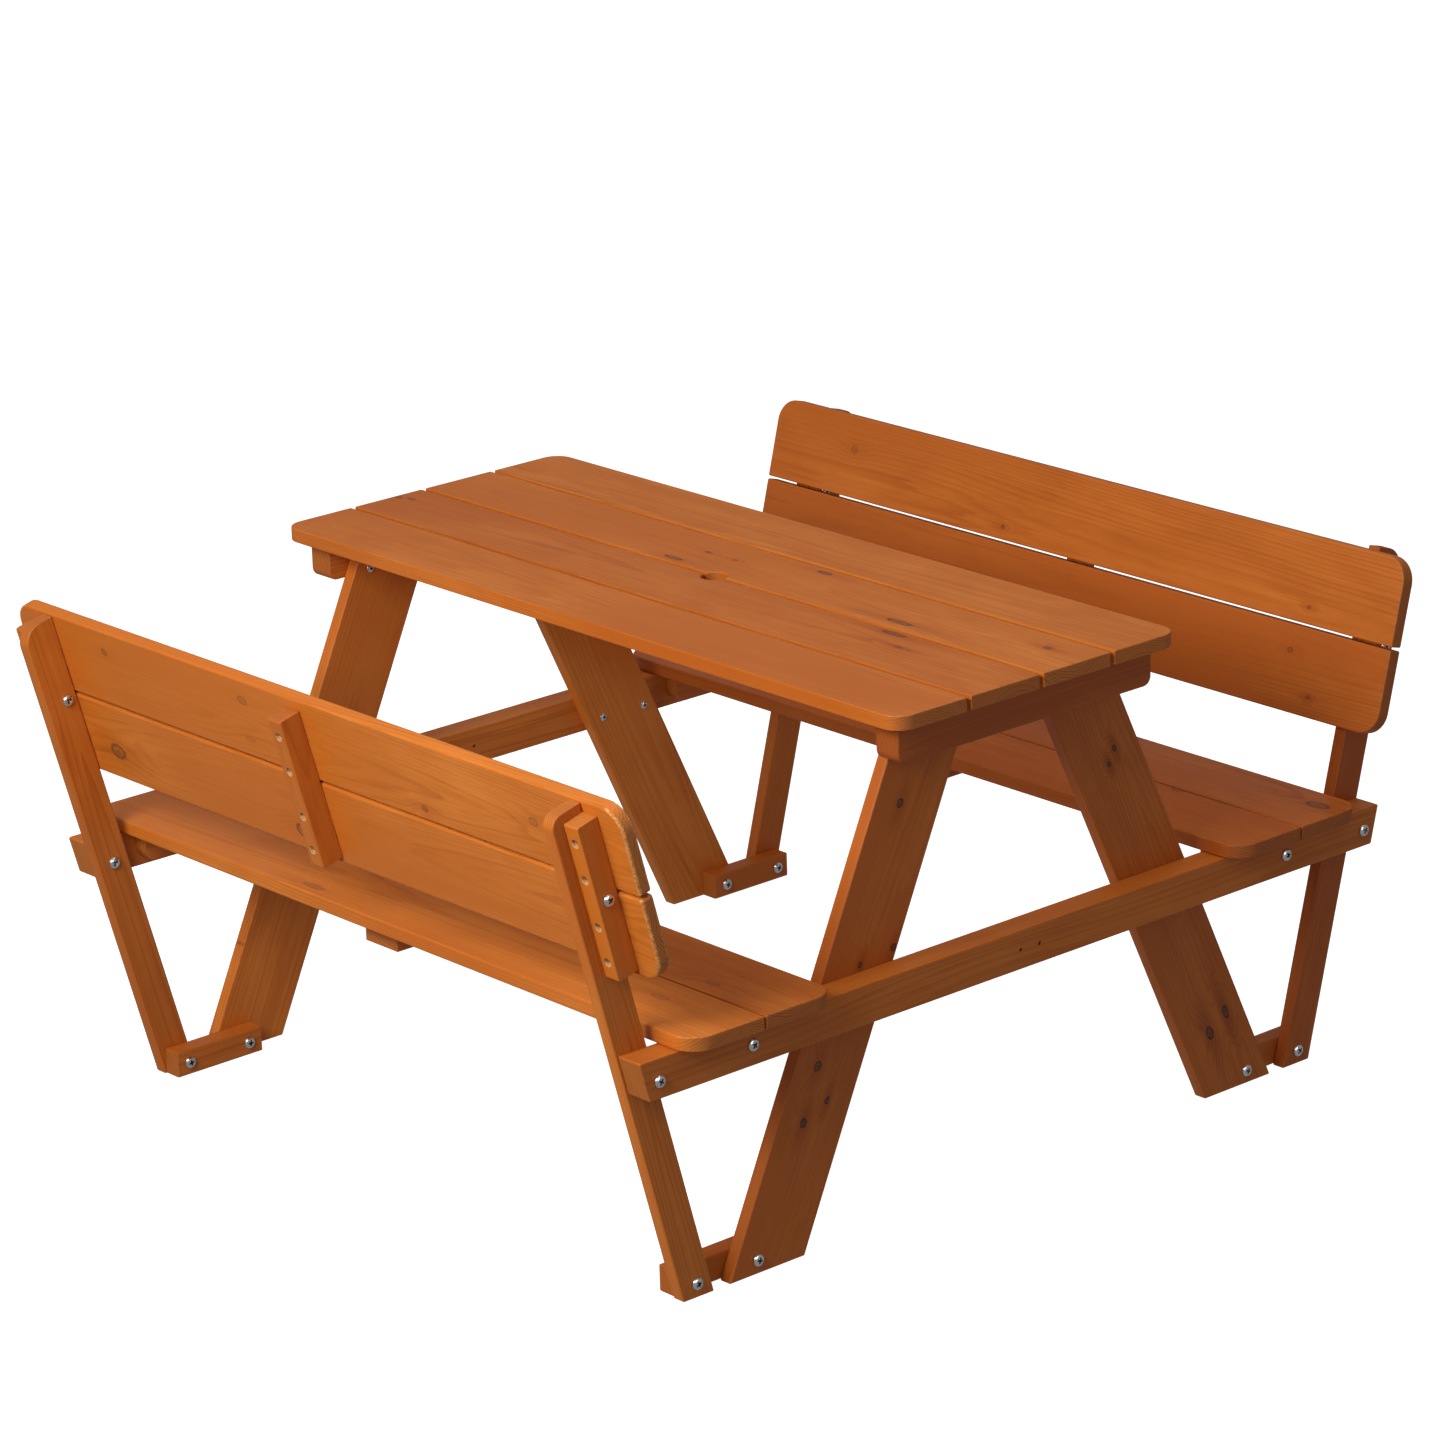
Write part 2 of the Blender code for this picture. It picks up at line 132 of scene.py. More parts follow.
# Recesses in the heads: mouth width, depth and, for a cross, the width of an arm
PAN_RECESS = (0.0066, 0.0026, 0.0022)
HEX_RECESS = (0.0030, 0.0022)
HEX_RECESS_HEIGHT = 0.0014
CROSS_RECESS = (0.0040, 0.0014, 0.0011)
CROSS_RECESS_HEIGHT = 0.0001

# Cutting
CUT_CLEARANCE = 0.002  # how far a cutter starts outside the wood
LONG_CUT_CLEARANCE = 0.004
HOLE_STEPS = 24
POCKET_STEPS = 28
PARASOL_HOLE_EASE = 0.0010
PARASOL_HOLE_STEPS = 64

SIDES = {"left": -1, "right": 1}
BENCHES = {"near": -1, "far": 1}
CORNERS = [(bench_name, side_name) for bench_name in BENCHES for side_name in SIDES]
X, Y, Z = Vector((1, 0, 0)), Vector((0, 1, 0)), Vector((0, 0, 1))

chance = random.Random(596)
screws = []  # piece name, kind of head, point on the surface and direction of each screw


# ---------- outlines


def rounded(corners):
    """Turn (a, b, radius) corners of a convex outline into points, with an arc at each radius."""
    points = []
    count = len(corners)
    for index, (a, b, radius) in enumerate(corners):
        corner = Vector((a, b))
        if radius == 0:
            points.append(corner)
            continue
        back = (Vector(corners[index - 1][:2]) - corner).normalized()
        ahead = (Vector(corners[(index + 1) % count][:2]) - corner).normalized()
        half_angle = back.angle(ahead) / 2
        centre = corner + (back + ahead).normalized() * radius / math.sin(half_angle)
        start = (corner + back * radius / math.tan(half_angle) - centre).normalized()
        end = (corner + ahead * radius / math.tan(half_angle) - centre).normalized()
        for step in range(CORNER_STEPS + 1):
            points.append(centre + start.slerp(end, step / CORNER_STEPS) * radius)
    return points


def rectangle(length, width, radii=(0, 0, 0, 0)):
    """A rectangle about the origin, with radii from (-a, -b) round to (-a, +b)."""
    a, b = length / 2, width / 2
    return rounded([(-a, -b, radii[0]), (a, -b, radii[1]), (a, b, radii[2]), (-a, b, radii[3])])


def place(origin, along, across):
    """The matrix that takes (along, across, depth) to the row frame."""
    matrix = Matrix((along, across, along.cross(across))).transposed().to_4x4()
    matrix.translation = origin
    return matrix


# ---------- meshes


def mesh_object(name, bm):
    mesh = bpy.data.meshes.new(name)
    bm.to_mesh(mesh)
    bm.free()
    item = bpy.data.objects.new(name, mesh)
    bpy.context.collection.objects.link(item)
    return item


def remove(item):
    mesh = item.data
    bpy.data.objects.remove(item, do_unlink=True)
    bpy.data.meshes.remove(mesh)


def bake(item):
    """Replace item's mesh with what its modifiers make of it."""
    graph = bpy.context.evaluated_depsgraph_get()
    result = bpy.data.meshes.new_from_object(item.evaluated_get(graph))
    item.modifiers.clear()
    old, item.data = item.data, result
    bpy.data.meshes.remove(old)
    result.name = item.name


def rounded_prism(name, outline, thickness, matrix, rounding):
    """The closed solid of an outline, with every edge sharper than BEVEL_ANGLE rounded over.

    rounding is the radius along the grain and the radius across it."""
    along, across = rounding
    bm = bmesh.new()
    weights = bm.edges.layers.float.new("bevel_weight_edge")
    base = [bm.verts.new((point[0], point[1], -thickness / 2)) for point in outline]
    face = bm.faces.new(base)
    extruded = bmesh.ops.extrude_face_region(bm, geom=[face])
    moved = [part for part in extruded["geom"] if isinstance(part, bmesh.types.BMVert)]
    bmesh.ops.translate(bm, verts=moved, vec=(0, 0, thickness))
    bmesh.ops.recalc_face_normals(bm, faces=bm.faces)
    for edge in bm.edges:
        if edge.calc_face_angle(0) > BEVEL_ANGLE:
            lengthwise = abs((edge.verts[1].co - edge.verts[0].co).normalized().x) ** 2
            edge[weights] = (across + (along - across) * lengthwise) / along
    bmesh.ops.transform(bm, matrix=matrix, verts=bm.verts)
    item = mesh_object(name, bm)
    bevel = item.modifiers.new("rounded_edges", "BEVEL")
    bevel.width = along
    bevel.segments = ROUNDING_SEGMENTS
    bevel.limit_method = "WEIGHT"
    bake(item)
    return item


def lathe(bm, profile, matrix=Matrix(), steps=ROUND_STEPS):
    """Add the closed solid that (radius, height) points sweep round Z, from its low end up."""
    rings = []
    for radius, height in profile:
        if radius == 0:
            rings.append([bm.verts.new(matrix @ Vector((0, 0, height)))])
            continue
        angles = [2 * math.pi * step / steps for step in range(steps)]
        rings.append([
            bm.verts.new(matrix @ Vector((radius * math.cos(a), radius * math.sin(a), height)))
            for a in angles
        ])
    for low, high in zip(rings, rings[1:]):
        for step in range(steps):
            after = (step + 1) % steps
            corners = [
                low[step % len(low)], low[after % len(low)],
                high[after % len(high)], high[step % len(high)],
            ]
            bm.faces.new(list(dict.fromkeys(corners)))
    for ring in (rings[0][::-1], rings[-1]):
        if len(ring) > 2:
            bm.faces.new(ring)


def subtract(item, cutter):
    """Cut the cutter out of item's mesh and remove it. The cut faces keep the cutter's material."""
    hole = item.modifiers.new("holes", "BOOLEAN")
    hole.operation = "DIFFERENCE"
    hole.solver = "EXACT"
    hole.material_mode = "TRANSFER"
    hole.object = cutter
    bake(item)
    remove(cutter)


def smooth(item):
    """Smooth shading with flat faces kept flat and real corners kept sharp."""
    item.data.shade_smooth()
    item.data.set_sharp_from_angle(angle=SHARP_ANGLE)
    weighted = item.modifiers.new("flat_faces", "WEIGHTED_NORMAL")
    weighted.keep_sharp = True
    weighted.weight = 100


def looking_along(point, direction):
    """A frame at point whose Z runs out of the surface, against the direction of drilling."""
    turn = Z.rotation_difference(-Vector(direction).normalized())
    return Matrix.Translation(point) @ turn.to_matrix().to_4x4()


# ---------- wood material


def link(tree, value, socket):
    if isinstance(value, bpy.types.NodeSocket):
        tree.links.new(value, socket)
    else:
        socket.default_value = value


def node(tree, kind, inputs=None, **settings):
    """Add a node, set its properties, then link or set its inputs by name or number."""
    made = tree.nodes.new(kind)
    for key, value in settings.items():
        setattr(made, key, value)
    for key, value in (inputs or {}).items():
        link(tree, value, made.inputs[key])
    return made


def calc(tree, operation, *values, clamp=False):
    made = node(tree, "ShaderNodeMath", dict(enumerate(values)), operation=operation, use_clamp=clamp)
    return made.outputs[0]


def add_layers(tree, value, layers):
    """A value plus each (layer, weight) layer times its weight."""
    for layer, weight in layers:
        value = calc(tree, "MULTIPLY_ADD", layer, weight, value)
    return value


def vector_calc(tree, operation, *values):
    made = node(tree, "ShaderNodeVectorMath", dict(enumerate(values)), operation=operation)
    return made.outputs["Value" if operation == "LENGTH" else "Vector"]


def remap(tree, value, low, high, to_low=0.0, to_high=1.0):
    inputs = {"Value": value, "From Min": low, "From Max": high, "To Min": to_low, "To Max": to_high}
    return node(tree, "ShaderNodeMapRange", inputs, interpolation_type="SMOOTHSTEP").outputs["Result"]


def blend(tree, factor, first, second):
    inputs = {"Factor": factor, 6: first, 7: second}
    return node(tree, "ShaderNodeMix", inputs, data_type="RGBA", clamp_factor=True).outputs[2]


def noise(tree, vector, stretch, detail=2.0, roughness=0.5, distortion=0.0):
    """Noise over the grain coordinates, from 0 to 1, with its own scale along, across and deep."""
    scaled = vector_calc(tree, "MULTIPLY", vector, stretch)
    inputs = {
        "Vector": scaled, "Scale": 1.0, "Detail": detail, "Roughness": roughness, "Distortion": distortion
    }
    return node(tree, "ShaderNodeTexNoise", inputs, noise_dimensions="3D").outputs


def grain_of(tree):
    """A point's place in its tree: X along the pith, Y and Z away from it."""
    return node(tree, "ShaderNodeAttribute", attribute_name="grain").outputs["Vector"]


def new_group(name, inputs, outputs):
    tree = bpy.data.node_groups.new(name, "ShaderNodeTree")
    for label, kind in inputs:
        tree.interface.new_socket(label, in_out="INPUT", socket_type=kind)
    for label, kind in outputs:
        tree.interface.new_socket(label, in_out="OUTPUT", socket_type=kind)
    return tree, tree.nodes.new("NodeGroupInput"), tree.nodes.new("NodeGroupOutput")


FLOAT, VECTOR, COLOUR = "NodeSocketFloat", "NodeSocketVector", "NodeSocketColor"
KNOT_PARTS = ("Bend", "Heart", "Bark", "Halo")
RAGGED_SCALE = (260.0, 420.0, 420.0)  # along, across and through the grain, like every noise scale


def knot_group():
    """One knot: how far it bends the growth rings, its heart, its bark and the dark grain round it."""
    tree, given, result = new_group(
        "knot",
        [("Grain", VECTOR), ("Centre", VECTOR), ("Size", FLOAT), ("Strength", FLOAT), ("Stretch", FLOAT)],
        [(part, FLOAT) for part in KNOT_PARTS],
    )
    offset = vector_calc(tree, "SUBTRACT", given.outputs["Grain"], given.outputs["Centre"])
    ragged = noise(tree, given.outputs["Grain"], RAGGED_SCALE, 3.0)[0]
    strength = given.outputs["Strength"]
    drawn_out = calc(tree, "DIVIDE", 1.0, given.outputs["Stretch"])
    drawn = node(tree, "ShaderNodeCombineXYZ", {"X": drawn_out, "Y": 1.0, "Z": 0.0}).outputs["Vector"]
    offset = vector_calc(tree, "MULTIPLY", offset, drawn)

    def distance(squeeze):
        squeezed = vector_calc(tree, "MULTIPLY", offset, squeeze)
        return calc(tree, "DIVIDE", vector_calc(tree, "LENGTH", squeezed), given.outputs["Size"])

    near = calc(tree, "ADD", distance((0.85, 1.0, 0.0)), calc(tree, "MULTIPLY_ADD", ragged, 0.7, -0.35))
    bend = remap(tree, distance((0.55, 1.0, 0.0)), 0.3, 5.0, 2.2, 0.0)
    eye = remap(tree, near, 0.42, 0.12, 0.0, 0.5)
    heart = calc(tree, "MULTIPLY", remap(tree, near, 1.05, 0.75, 0.0, 0.5), strength)
    heart = calc(tree, "MULTIPLY_ADD", eye, strength, heart)
    bark = remap(tree, calc(tree, "ABSOLUTE", calc(tree, "SUBTRACT", near, 0.92)), 0.30, 0.04)
    halo = remap(tree, distance((0.26, 0.75, 0.0)), 2.6, 0.2)
    link(tree, heart, result.inputs["Heart"])
    for label, value in (("Bend", bend), ("Bark", bark), ("Halo", halo)):
        link(tree, calc(tree, "MULTIPLY", value, strength), result.inputs[label])
    return tree


WOOD_LIGHT = (0.640, 0.190, 0.028, 1.0)
WOOD_MIDDLE = (0.520, 0.130, 0.014, 1.0)
WOOD_DARK = (0.350, 0.072, 0.006, 1.0)
WOOD_RED = (0.490, 0.114, 0.011, 1.0)
KNOT_HEART = (0.130, 0.046, 0.016, 1.0)
KNOT_BARK = (0.060, 0.026, 0.012, 1.0)
END_GRAIN = (0.440, 0.128, 0.020, 1.0)
END_GRAIN_DARK = (0.300, 0.070, 0.010, 1.0)
BARE_LIGHT = (0.760, 0.460, 0.210, 1.0)
BARE_DARK = (0.480, 0.220, 0.075, 1.0)
WORN = (0.760, 0.370, 0.130, 1.0)
RING_SPACING = 0.0026
PITH_WANDER = 0.016

# How deep the stain looks: where there is nothing else, and what each layer of the figure adds; the edge
# layer is not stain but painted shade on rounded edges
PLAIN_DEPTH = 0.35
LATE_WOOD_DEPTH = 0.25
FIBRE_DEPTH = 0.46
STREAK_DEPTH = 0.27
BLOTCH_DEPTH = 0.55
PORE_DEPTH = 0.10
EDGE_PAINTED_SHADE_DEPTH = 0.05
HALO_DEPTH = 0.30
TONE_BY_CHANNEL = (1.0, 1.6, 1.8)  # a paler piece is less red as well


def wood_group():
    """Stained softwood: growth rings round a pith, fibres, pores, uneven stain, end grain and painted
    shade on rounded edges.
    """
    tree, given, result = new_group(
        "stained_wood",
        [(part, FLOAT) for part in KNOT_PARTS],
        [("Colour", COLOUR), ("Roughness", FLOAT), ("Height", FLOAT)],
    )
    grain = grain_of(tree)
    tone, end, edge, worn = [
        node(tree, "ShaderNodeAttribute", attribute_name=name).outputs["Fac"]
        for name in ("tone", "end_grain", "edge", "worn")
    ]

    wander = vector_calc(tree, "SUBTRACT", noise(tree, grain, (1.6, 9.0, 9.0), 2.0)[1], (0.5, 0.5, 0.5))
    wandered = vector_calc(tree, "MULTIPLY_ADD", wander, (0.0, PITH_WANDER, PITH_WANDER), grain)
    radius = vector_calc(tree, "LENGTH", vector_calc(tree, "MULTIPLY", wandered, (0.0, 1.0, 1.0)))
    uneven = noise(tree, grain, (1.5, 120.0, 120.0), 1.0)[0]
    phase = calc(tree, "MULTIPLY_ADD", radius, 1.0 / RING_SPACING, calc(tree, "MULTIPLY", uneven, 1.6))
    phase = calc(tree, "ADD", phase, given.outputs["Bend"])
    within = calc(tree, "FRACT", phase)
    late = calc(tree, "MULTIPLY", remap(tree, within, 0.35, 0.90), remap(tree, within, 1.0, 0.92))
    year = node(tree, "ShaderNodeTexWhiteNoise", {"W": calc(tree, "FLOOR", phase)}, noise_dimensions="1D")
    late = calc(tree, "MULTIPLY", late, calc(tree, "MULTIPLY_ADD", year.outputs["Value"], 0.8, 0.35))

    fibre = noise(tree, grain, (7.0, 620.0, 620.0), 4.0, 0.62)[0]
    streak = noise(tree, grain, (2.6, 85.0, 85.0), 3.0, 0.58)[0]
    blotch = noise(tree, grain, (9.0, 20.0, 20.0), 3.0, 0.55, 0.3)[0]
    cloud = noise(tree, grain, (2.0, 7.0, 7.0), 1.0)[0]
    pores = remap(tree, noise(tree, grain, (130.0, 1500.0, 1500.0), 1.0)[0], 0.62, 0.74)

    swings = ((fibre, FIBRE_DEPTH), (streak, STREAK_DEPTH), (blotch, BLOTCH_DEPTH))
    depth = add_layers(tree, PLAIN_DEPTH, (
        (late, LATE_WOOD_DEPTH),
        *((calc(tree, "SUBTRACT", layer, 0.5), weight) for layer, weight in swings),
        # The edge term darkens rounded edges as painted shade, toning down their lit highlight
        (pores, PORE_DEPTH), (edge, EDGE_PAINTED_SHADE_DEPTH), (given.outputs["Halo"], HALO_DEPTH),
    ))

    ramp = node(tree, "ShaderNodeValToRGB", {"Fac": depth})
    stops = ramp.color_ramp.elements
    stops[0].position, stops[0].color = 0.10, WOOD_LIGHT
    stops[1].position, stops[1].color = 0.95, WOOD_DARK
    middle = stops.new(0.45)
    middle.color = WOOD_MIDDLE
    colour = blend(tree, remap(tree, cloud, 0.42, 0.68, 0.0, 0.75), ramp.outputs["Color"], WOOD_RED)
    end_colour = blend(tree, remap(tree, late, 0.0, 0.8), END_GRAIN, END_GRAIN_DARK)
    end_colour = blend(tree, calc(tree, "MULTIPLY", pores, 0.5), end_colour, END_GRAIN_DARK)
    colour = blend(tree, calc(tree, "MULTIPLY", end, 0.8), colour, end_colour)
    torn = noise(tree, grain, RAGGED_SCALE, 4.0, 0.65)[0]
    torn_away = calc(tree, "MULTIPLY", worn, remap(tree, torn, 0.42, 0.62, 0.10, 0.80))
    colour = blend(tree, torn_away, colour, WORN)
    for part, share, knot_colour in (("Heart", 0.85, KNOT_HEART), ("Bark", 0.75, KNOT_BARK)):
        covered = calc(tree, "MULTIPLY", given.outputs[part], share, clamp=True)
        colour = blend(tree, covered, colour, knot_colour)
    lightness = node(tree, "ShaderNodeCombineXYZ", {"X": tone, "Y": tone, "Z": tone}).outputs["Vector"]
    lightness = vector_calc(tree, "MULTIPLY_ADD", lightness, TONE_BY_CHANNEL, (1.0, 1.0, 1.0))
    link(tree, vector_calc(tree, "MULTIPLY", colour, lightness), result.inputs["Colour"])

    rough = add_layers(tree, 0.36, ((streak, 0.16), (end, 0.14)))
    link(tree, rough, result.inputs["Roughness"])
    splinters = calc(tree, "MULTIPLY", worn, torn)
    relief = ((fibre, 0.6), (pores, -0.5), (given.outputs["Bark"], -0.8), (splinters, 2.5))
    height = add_layers(tree, calc(tree, "MULTIPLY", late, 0.35), relief)
    link(tree, height, result.inputs["Height"])
    return tree


GROUPS = {"knot": knot_group(), "wood": wood_group()}


def group_node(tree, name, inputs):
    made = tree.nodes.new("ShaderNodeGroup")
    made.node_tree = GROUPS[name]
    for key, value in inputs.items():
        link(tree, value, made.inputs[key])
    return made


def new_material(name):
    """A material, its node tree and its shader."""
    material = bpy.data.materials.new(name)
    material.use_nodes = True
    return material, material.node_tree, material.node_tree.nodes["Principled BSDF"]


def bump(tree, shader, height, strength, distance):
    made = node(tree, "ShaderNodeBump", {"Strength": strength, "Distance": distance, "Height": height})
    link(tree, made.outputs["Normal"], shader.inputs["Normal"])


def wood_material(name, knots=()):
    """Stained wood. A knot is its centre in grain coordinates, its size, strength and stretch."""
    material, tree, shader = new_material(name)
    inputs = {}
    if knots:
        grain = grain_of(tree)
        for centre, size, strength, stretch in knots:
            given = {
                "Grain": grain, "Centre": centre, "Size": size, "Strength": strength, "Stretch": stretch
            }
            knot = group_node(tree, "knot", given)
            for part in KNOT_PARTS:
                found = knot.outputs[part]
                operation = "ADD" if part == "Bend" else "MAXIMUM"
                inputs[part] = calc(tree, operation, inputs[part], found) if part in inputs else found
    wood = group_node(tree, "wood", inputs)
    link(tree, wood.outputs["Colour"], shader.inputs["Base Color"])
    link(tree, wood.outputs["Roughness"], shader.inputs["Roughness"])
    bump(tree, shader, wood.outputs["Height"], 0.35, 0.0003)
    shader.inputs["Specular IOR Level"].default_value = 0.25
    return material


def bare_wood_material():
    """Pale unstained wood, cut across, inside a pocket drilled after staining."""
    material, tree, shader = new_material("bare_wood")
    grain = grain_of(tree)
    fibre = noise(tree, grain, (300.0, 1400.0, 1400.0), 3.0)[0]
    colour = blend(tree, remap(tree, fibre, 0.35, 0.65), BARE_LIGHT, BARE_DARK)
    link(tree, colour, shader.inputs["Base Color"])
    link(tree, remap(tree, fibre, 0.3, 0.7, 0.6, 0.8), shader.inputs["Roughness"])
    bump(tree, shader, fibre, 0.5, 0.0003)
    return material


ZINC_DARK = (0.62, 0.63, 0.65, 1.0)
ZINC_BRIGHT = (0.86, 0.87, 0.88, 1.0)
# Painted shade: near-black zinc for the faces inside the head recesses, standing in for the shade down in
# them
RECESS_SHADE_DARK = (0.05, 0.05, 0.05, 1.0)
RECESS_SHADE_BRIGHT = (0.14, 0.14, 0.15, 1.0)


def zinc_material(name, dark, bright, rough):
    """Zinc plate with faint clouding and fine scratches."""
    material, tree, shader = new_material(name)
    coordinates = node(tree, "ShaderNodeTexCoord").outputs["Object"]
    cloud = noise(tree, coordinates, (900.0, 900.0, 900.0), 3.0)[0]
    scratch = noise(tree, coordinates, (300.0, 5000.0, 1200.0), 2.0)[0]
    colour = blend(tree, remap(tree, cloud, 0.3, 0.7), dark, bright)
    link(tree, colour, shader.inputs["Base Color"])
    link(tree, remap(tree, scratch, 0.3, 0.7, rough, rough + 0.16), shader.inputs["Roughness"])
    shader.inputs["Metallic"].default_value = 1.0
    bump(tree, shader, scratch, 0.2, 0.0001)
    return material


BARE_WOOD = bare_wood_material()
ZINC = zinc_material("zinc_plate", ZINC_DARK, ZINC_BRIGHT, 0.16)
# The recess zinc is painted shade, darkened to stand in for the shade inside the recesses
ZINC_PAINTED_SHADE = zinc_material("zinc_painted_recess_shade", RECESS_SHADE_DARK, RECESS_SHADE_BRIGHT, 0.40)
CLEAR_WOODS = {
    slot: wood_material(f"clear_{slot}")
    for slot in ("tabletop_wood", "seat_wood", "backrest_wood", "frame_wood", "batten_wood")
}


# ---------- wood pieces

# Knots where they show: a point on the face, a radius, a strength and a stretch along the grain
KNOTS = {
    "back_board_near_upper": [
        ((-0.306, -0.494, 0.472), 0.0035, 0.7, 1.0), ((-0.091, -0.494, 0.473), 0.0045, 0.5, 1.2),
        ((-0.096, -0.482, 0.432), 0.0028, 0.3, 2.0), ((0.156, -0.481, 0.425), 0.0030, 0.8, 1.2),
        ((0.317, -0.489, 0.454), 0.0042, 0.5, 1.2),
    ],
    "back_board_near_lower": [
        ((-0.337, -0.464, 0.359), 0.0078, 0.85, 1.2), ((-0.056, -0.461, 0.348), 0.0065, 0.9, 0.9),
    ],
    "tabletop_board_3": [
        ((-0.074, 0.013, 0.5), 0.0032, 1.0, 3.2), ((-0.063, 0.048, 0.5), 0.0022, 1.2, 1.5),
        ((-0.024, 0.048, 0.5), 0.0020, 1.0, 1.5), ((0.071, 0.078, 0.5), 0.0034, 1.1, 2.2),
        ((0.237, 0.019, 0.5), 0.0037, 1.0, 3.6), ((0.393, 0.057, 0.5), 0.0026, 1.1, 1.4),
    ],
    "tabletop_board_2": [
        ((0.260, -0.009, 0.5), 0.0037, 1.0, 3.4), ((-0.438, -0.037, 0.5), 0.0034, 0.8, 1.5),
        ((-0.422, -0.032, 0.5), 0.0030, 0.8, 1.5), ((0.292, -0.034, 0.5), 0.0018, 1.0, 2.4),
    ],
    "leg_near_right": [
        ((0.394, -0.131, 0.399), 0.0036, 1.6, 1.0), ((0.394, -0.143, 0.265), 0.0030, 1.5, 1.0),
        ((0.394, -0.184, 0.259), 0.0025, 1.5, 1.0), ((0.394, -0.238, 0.177), 0.0040, 1.2, 1.0),
        ((0.394, -0.228, 0.141), 0.0024, 1.8, 1.2), ((0.394, -0.257, 0.128), 0.0036, 1.7, 1.0),
    ],
    "leg_far_right": [
        ((0.394, 0.140, 0.384), 0.0024, 1.6, 1.2), ((0.394, 0.133, 0.370), 0.0022, 1.8, 1.0),
        ((0.394, 0.287, 0.082), 0.0032, 1.7, 2.0), ((0.394, 0.266, 0.066), 0.0040, 1.5, 1.5),
    ],
    "leg_near_left": [
        ((-0.380, -0.170, 0.418), 0.0035, 0.7, 1.0), ((-0.380, -0.303, 0.108), 0.0030, 0.6, 1.0),
    ],
    "seat_board_far_outer": [((0.412, 0.397, 0.2675), 0.0062, 0.9, 1.8)],
    "seat_board_far_inner": [((0.285, 0.337, 0.2675), 0.0040, 0.5, 1.6)],
    "seat_board_near_inner": [((0.350, -0.320, 0.2675), 0.0035, 0.4, 2.0)],
    "seat_board_near_outer": [
        ((0.342, -0.375, 0.2675), 0.0045, 0.35, 2.0), ((-0.107, -0.413, 0.2675), 0.0040, 0.5, 3.0),
    ],
    "back_board_far_upper": [
        ((-0.320, 0.478, 0.465), 0.0040, 0.5, 1.0), ((-0.089, 0.469, 0.429), 0.0020, 0.9, 1.0),
        ((0.333, 0.469, 0.432), 0.0018, 0.7, 1.0),
    ],
    "back_board_far_lower": [
        ((0.319, 0.458, 0.389), 0.0028, 0.7, 1.0), ((0.352, 0.448, 0.350), 0.0020, 0.9, 1.0),
    ],
}

# How much lighter or darker a piece took the stain than the rest
TONES = {
    "back_board_near_upper": 0.18, "back_board_near_lower": 0.16, "back_board_far_lower": -0.08,
    "back_batten_near_left": 0.10, "back_batten_near_middle": 0.02, "back_batten_near_right": 0.22,
    "tabletop_board_1": 0.06, "tabletop_board_3": 0.10, "tabletop_board_4": 0.10,
    "seat_board_near_inner": -0.02, "seat_board_near_outer": 0.10,
    "seat_board_far_inner": -0.12, "seat_board_far_outer": -0.12,
    "post_near_left": 0.02, "post_near_right": 0.12, "post_far_right": -0.18,
    "leg_near_left": 0.12, "leg_far_left": 0.20, "leg_far_right": -0.04,
    "rail_left": 0.14, "rail_right": 0.03, "top_apron_right": -0.16,
}

# How rough and pale the sawn ends of a piece are, where that isn't PLAIN_END
ROUGH_ENDS = {"back_board_near_upper": 0.8, "back_board_near_lower": 0.7, "tabletop_board_1": 0.25}
PLAIN_END = 0.10

# Where a board was cut from its log, for the boards whose figure shows plainly:
# how far the pith is across and behind, and how much it tilts across and in depth
LOG_PLACES = {
    "back_board_near_upper": (0.010, 0.034, 0.006, 0.032),
    "back_board_near_lower": (-0.006, 0.046, -0.008, -0.026),
    "back_board_far_upper": (0.030, 0.060, 0.004, 0.012),
    "tabletop_board_1": (0.012, 0.050, 0.004, 0.014),
    "tabletop_board_2": (-0.010, 0.040, -0.005, 0.020),
    "tabletop_board_3": (0.004, -0.044, 0.006, 0.022),
    "leg_near_right": (0.030, 0.050, 0.004, 0.010),
}

# The same for every other piece, drawn at random up to these values
LOG_LENGTH = 60
PITH_ACROSS = 0.022
PITH_BEHIND = (0.020, 0.060)
PITH_TILT_ACROSS = 0.012
PITH_TILT_DEPTH = 0.02

# Share of a face's normal along the grain where end grain starts, over how much more it comes
# in fully, and where a rounded edge is worn
END_FROM = 0.45
END_OVER = 0.4
WORN_FROM = 0.25
EDGE_TILT = (0.1, 0.95)  # share of a rounded edge's normal that runs through the thickness


def grain_frame(cad_node, matrix):
    """The matrix from the row frame to a piece's grain coordinates, whose axis is its tree's pith."""
    start = chance.uniform(0, LOG_LENGTH)
    across = chance.uniform(-PITH_ACROSS, PITH_ACROSS)
    behind = chance.choice((-1, 1)) * chance.uniform(*PITH_BEHIND)
    tilt_across = chance.uniform(-PITH_TILT_ACROSS, PITH_TILT_ACROSS)
    tilt_depth = chance.uniform(-PITH_TILT_DEPTH, PITH_TILT_DEPTH)
    if cad_node in LOG_PLACES:
        across, behind, tilt_across, tilt_depth = LOG_PLACES[cad_node]
    shear = Matrix((
        (1, 0, 0, start), (tilt_across, 1, 0, across), (tilt_depth, 0, 1, behind), (0, 0, 0, 1),
    ))
    return shear @ matrix.inverted()


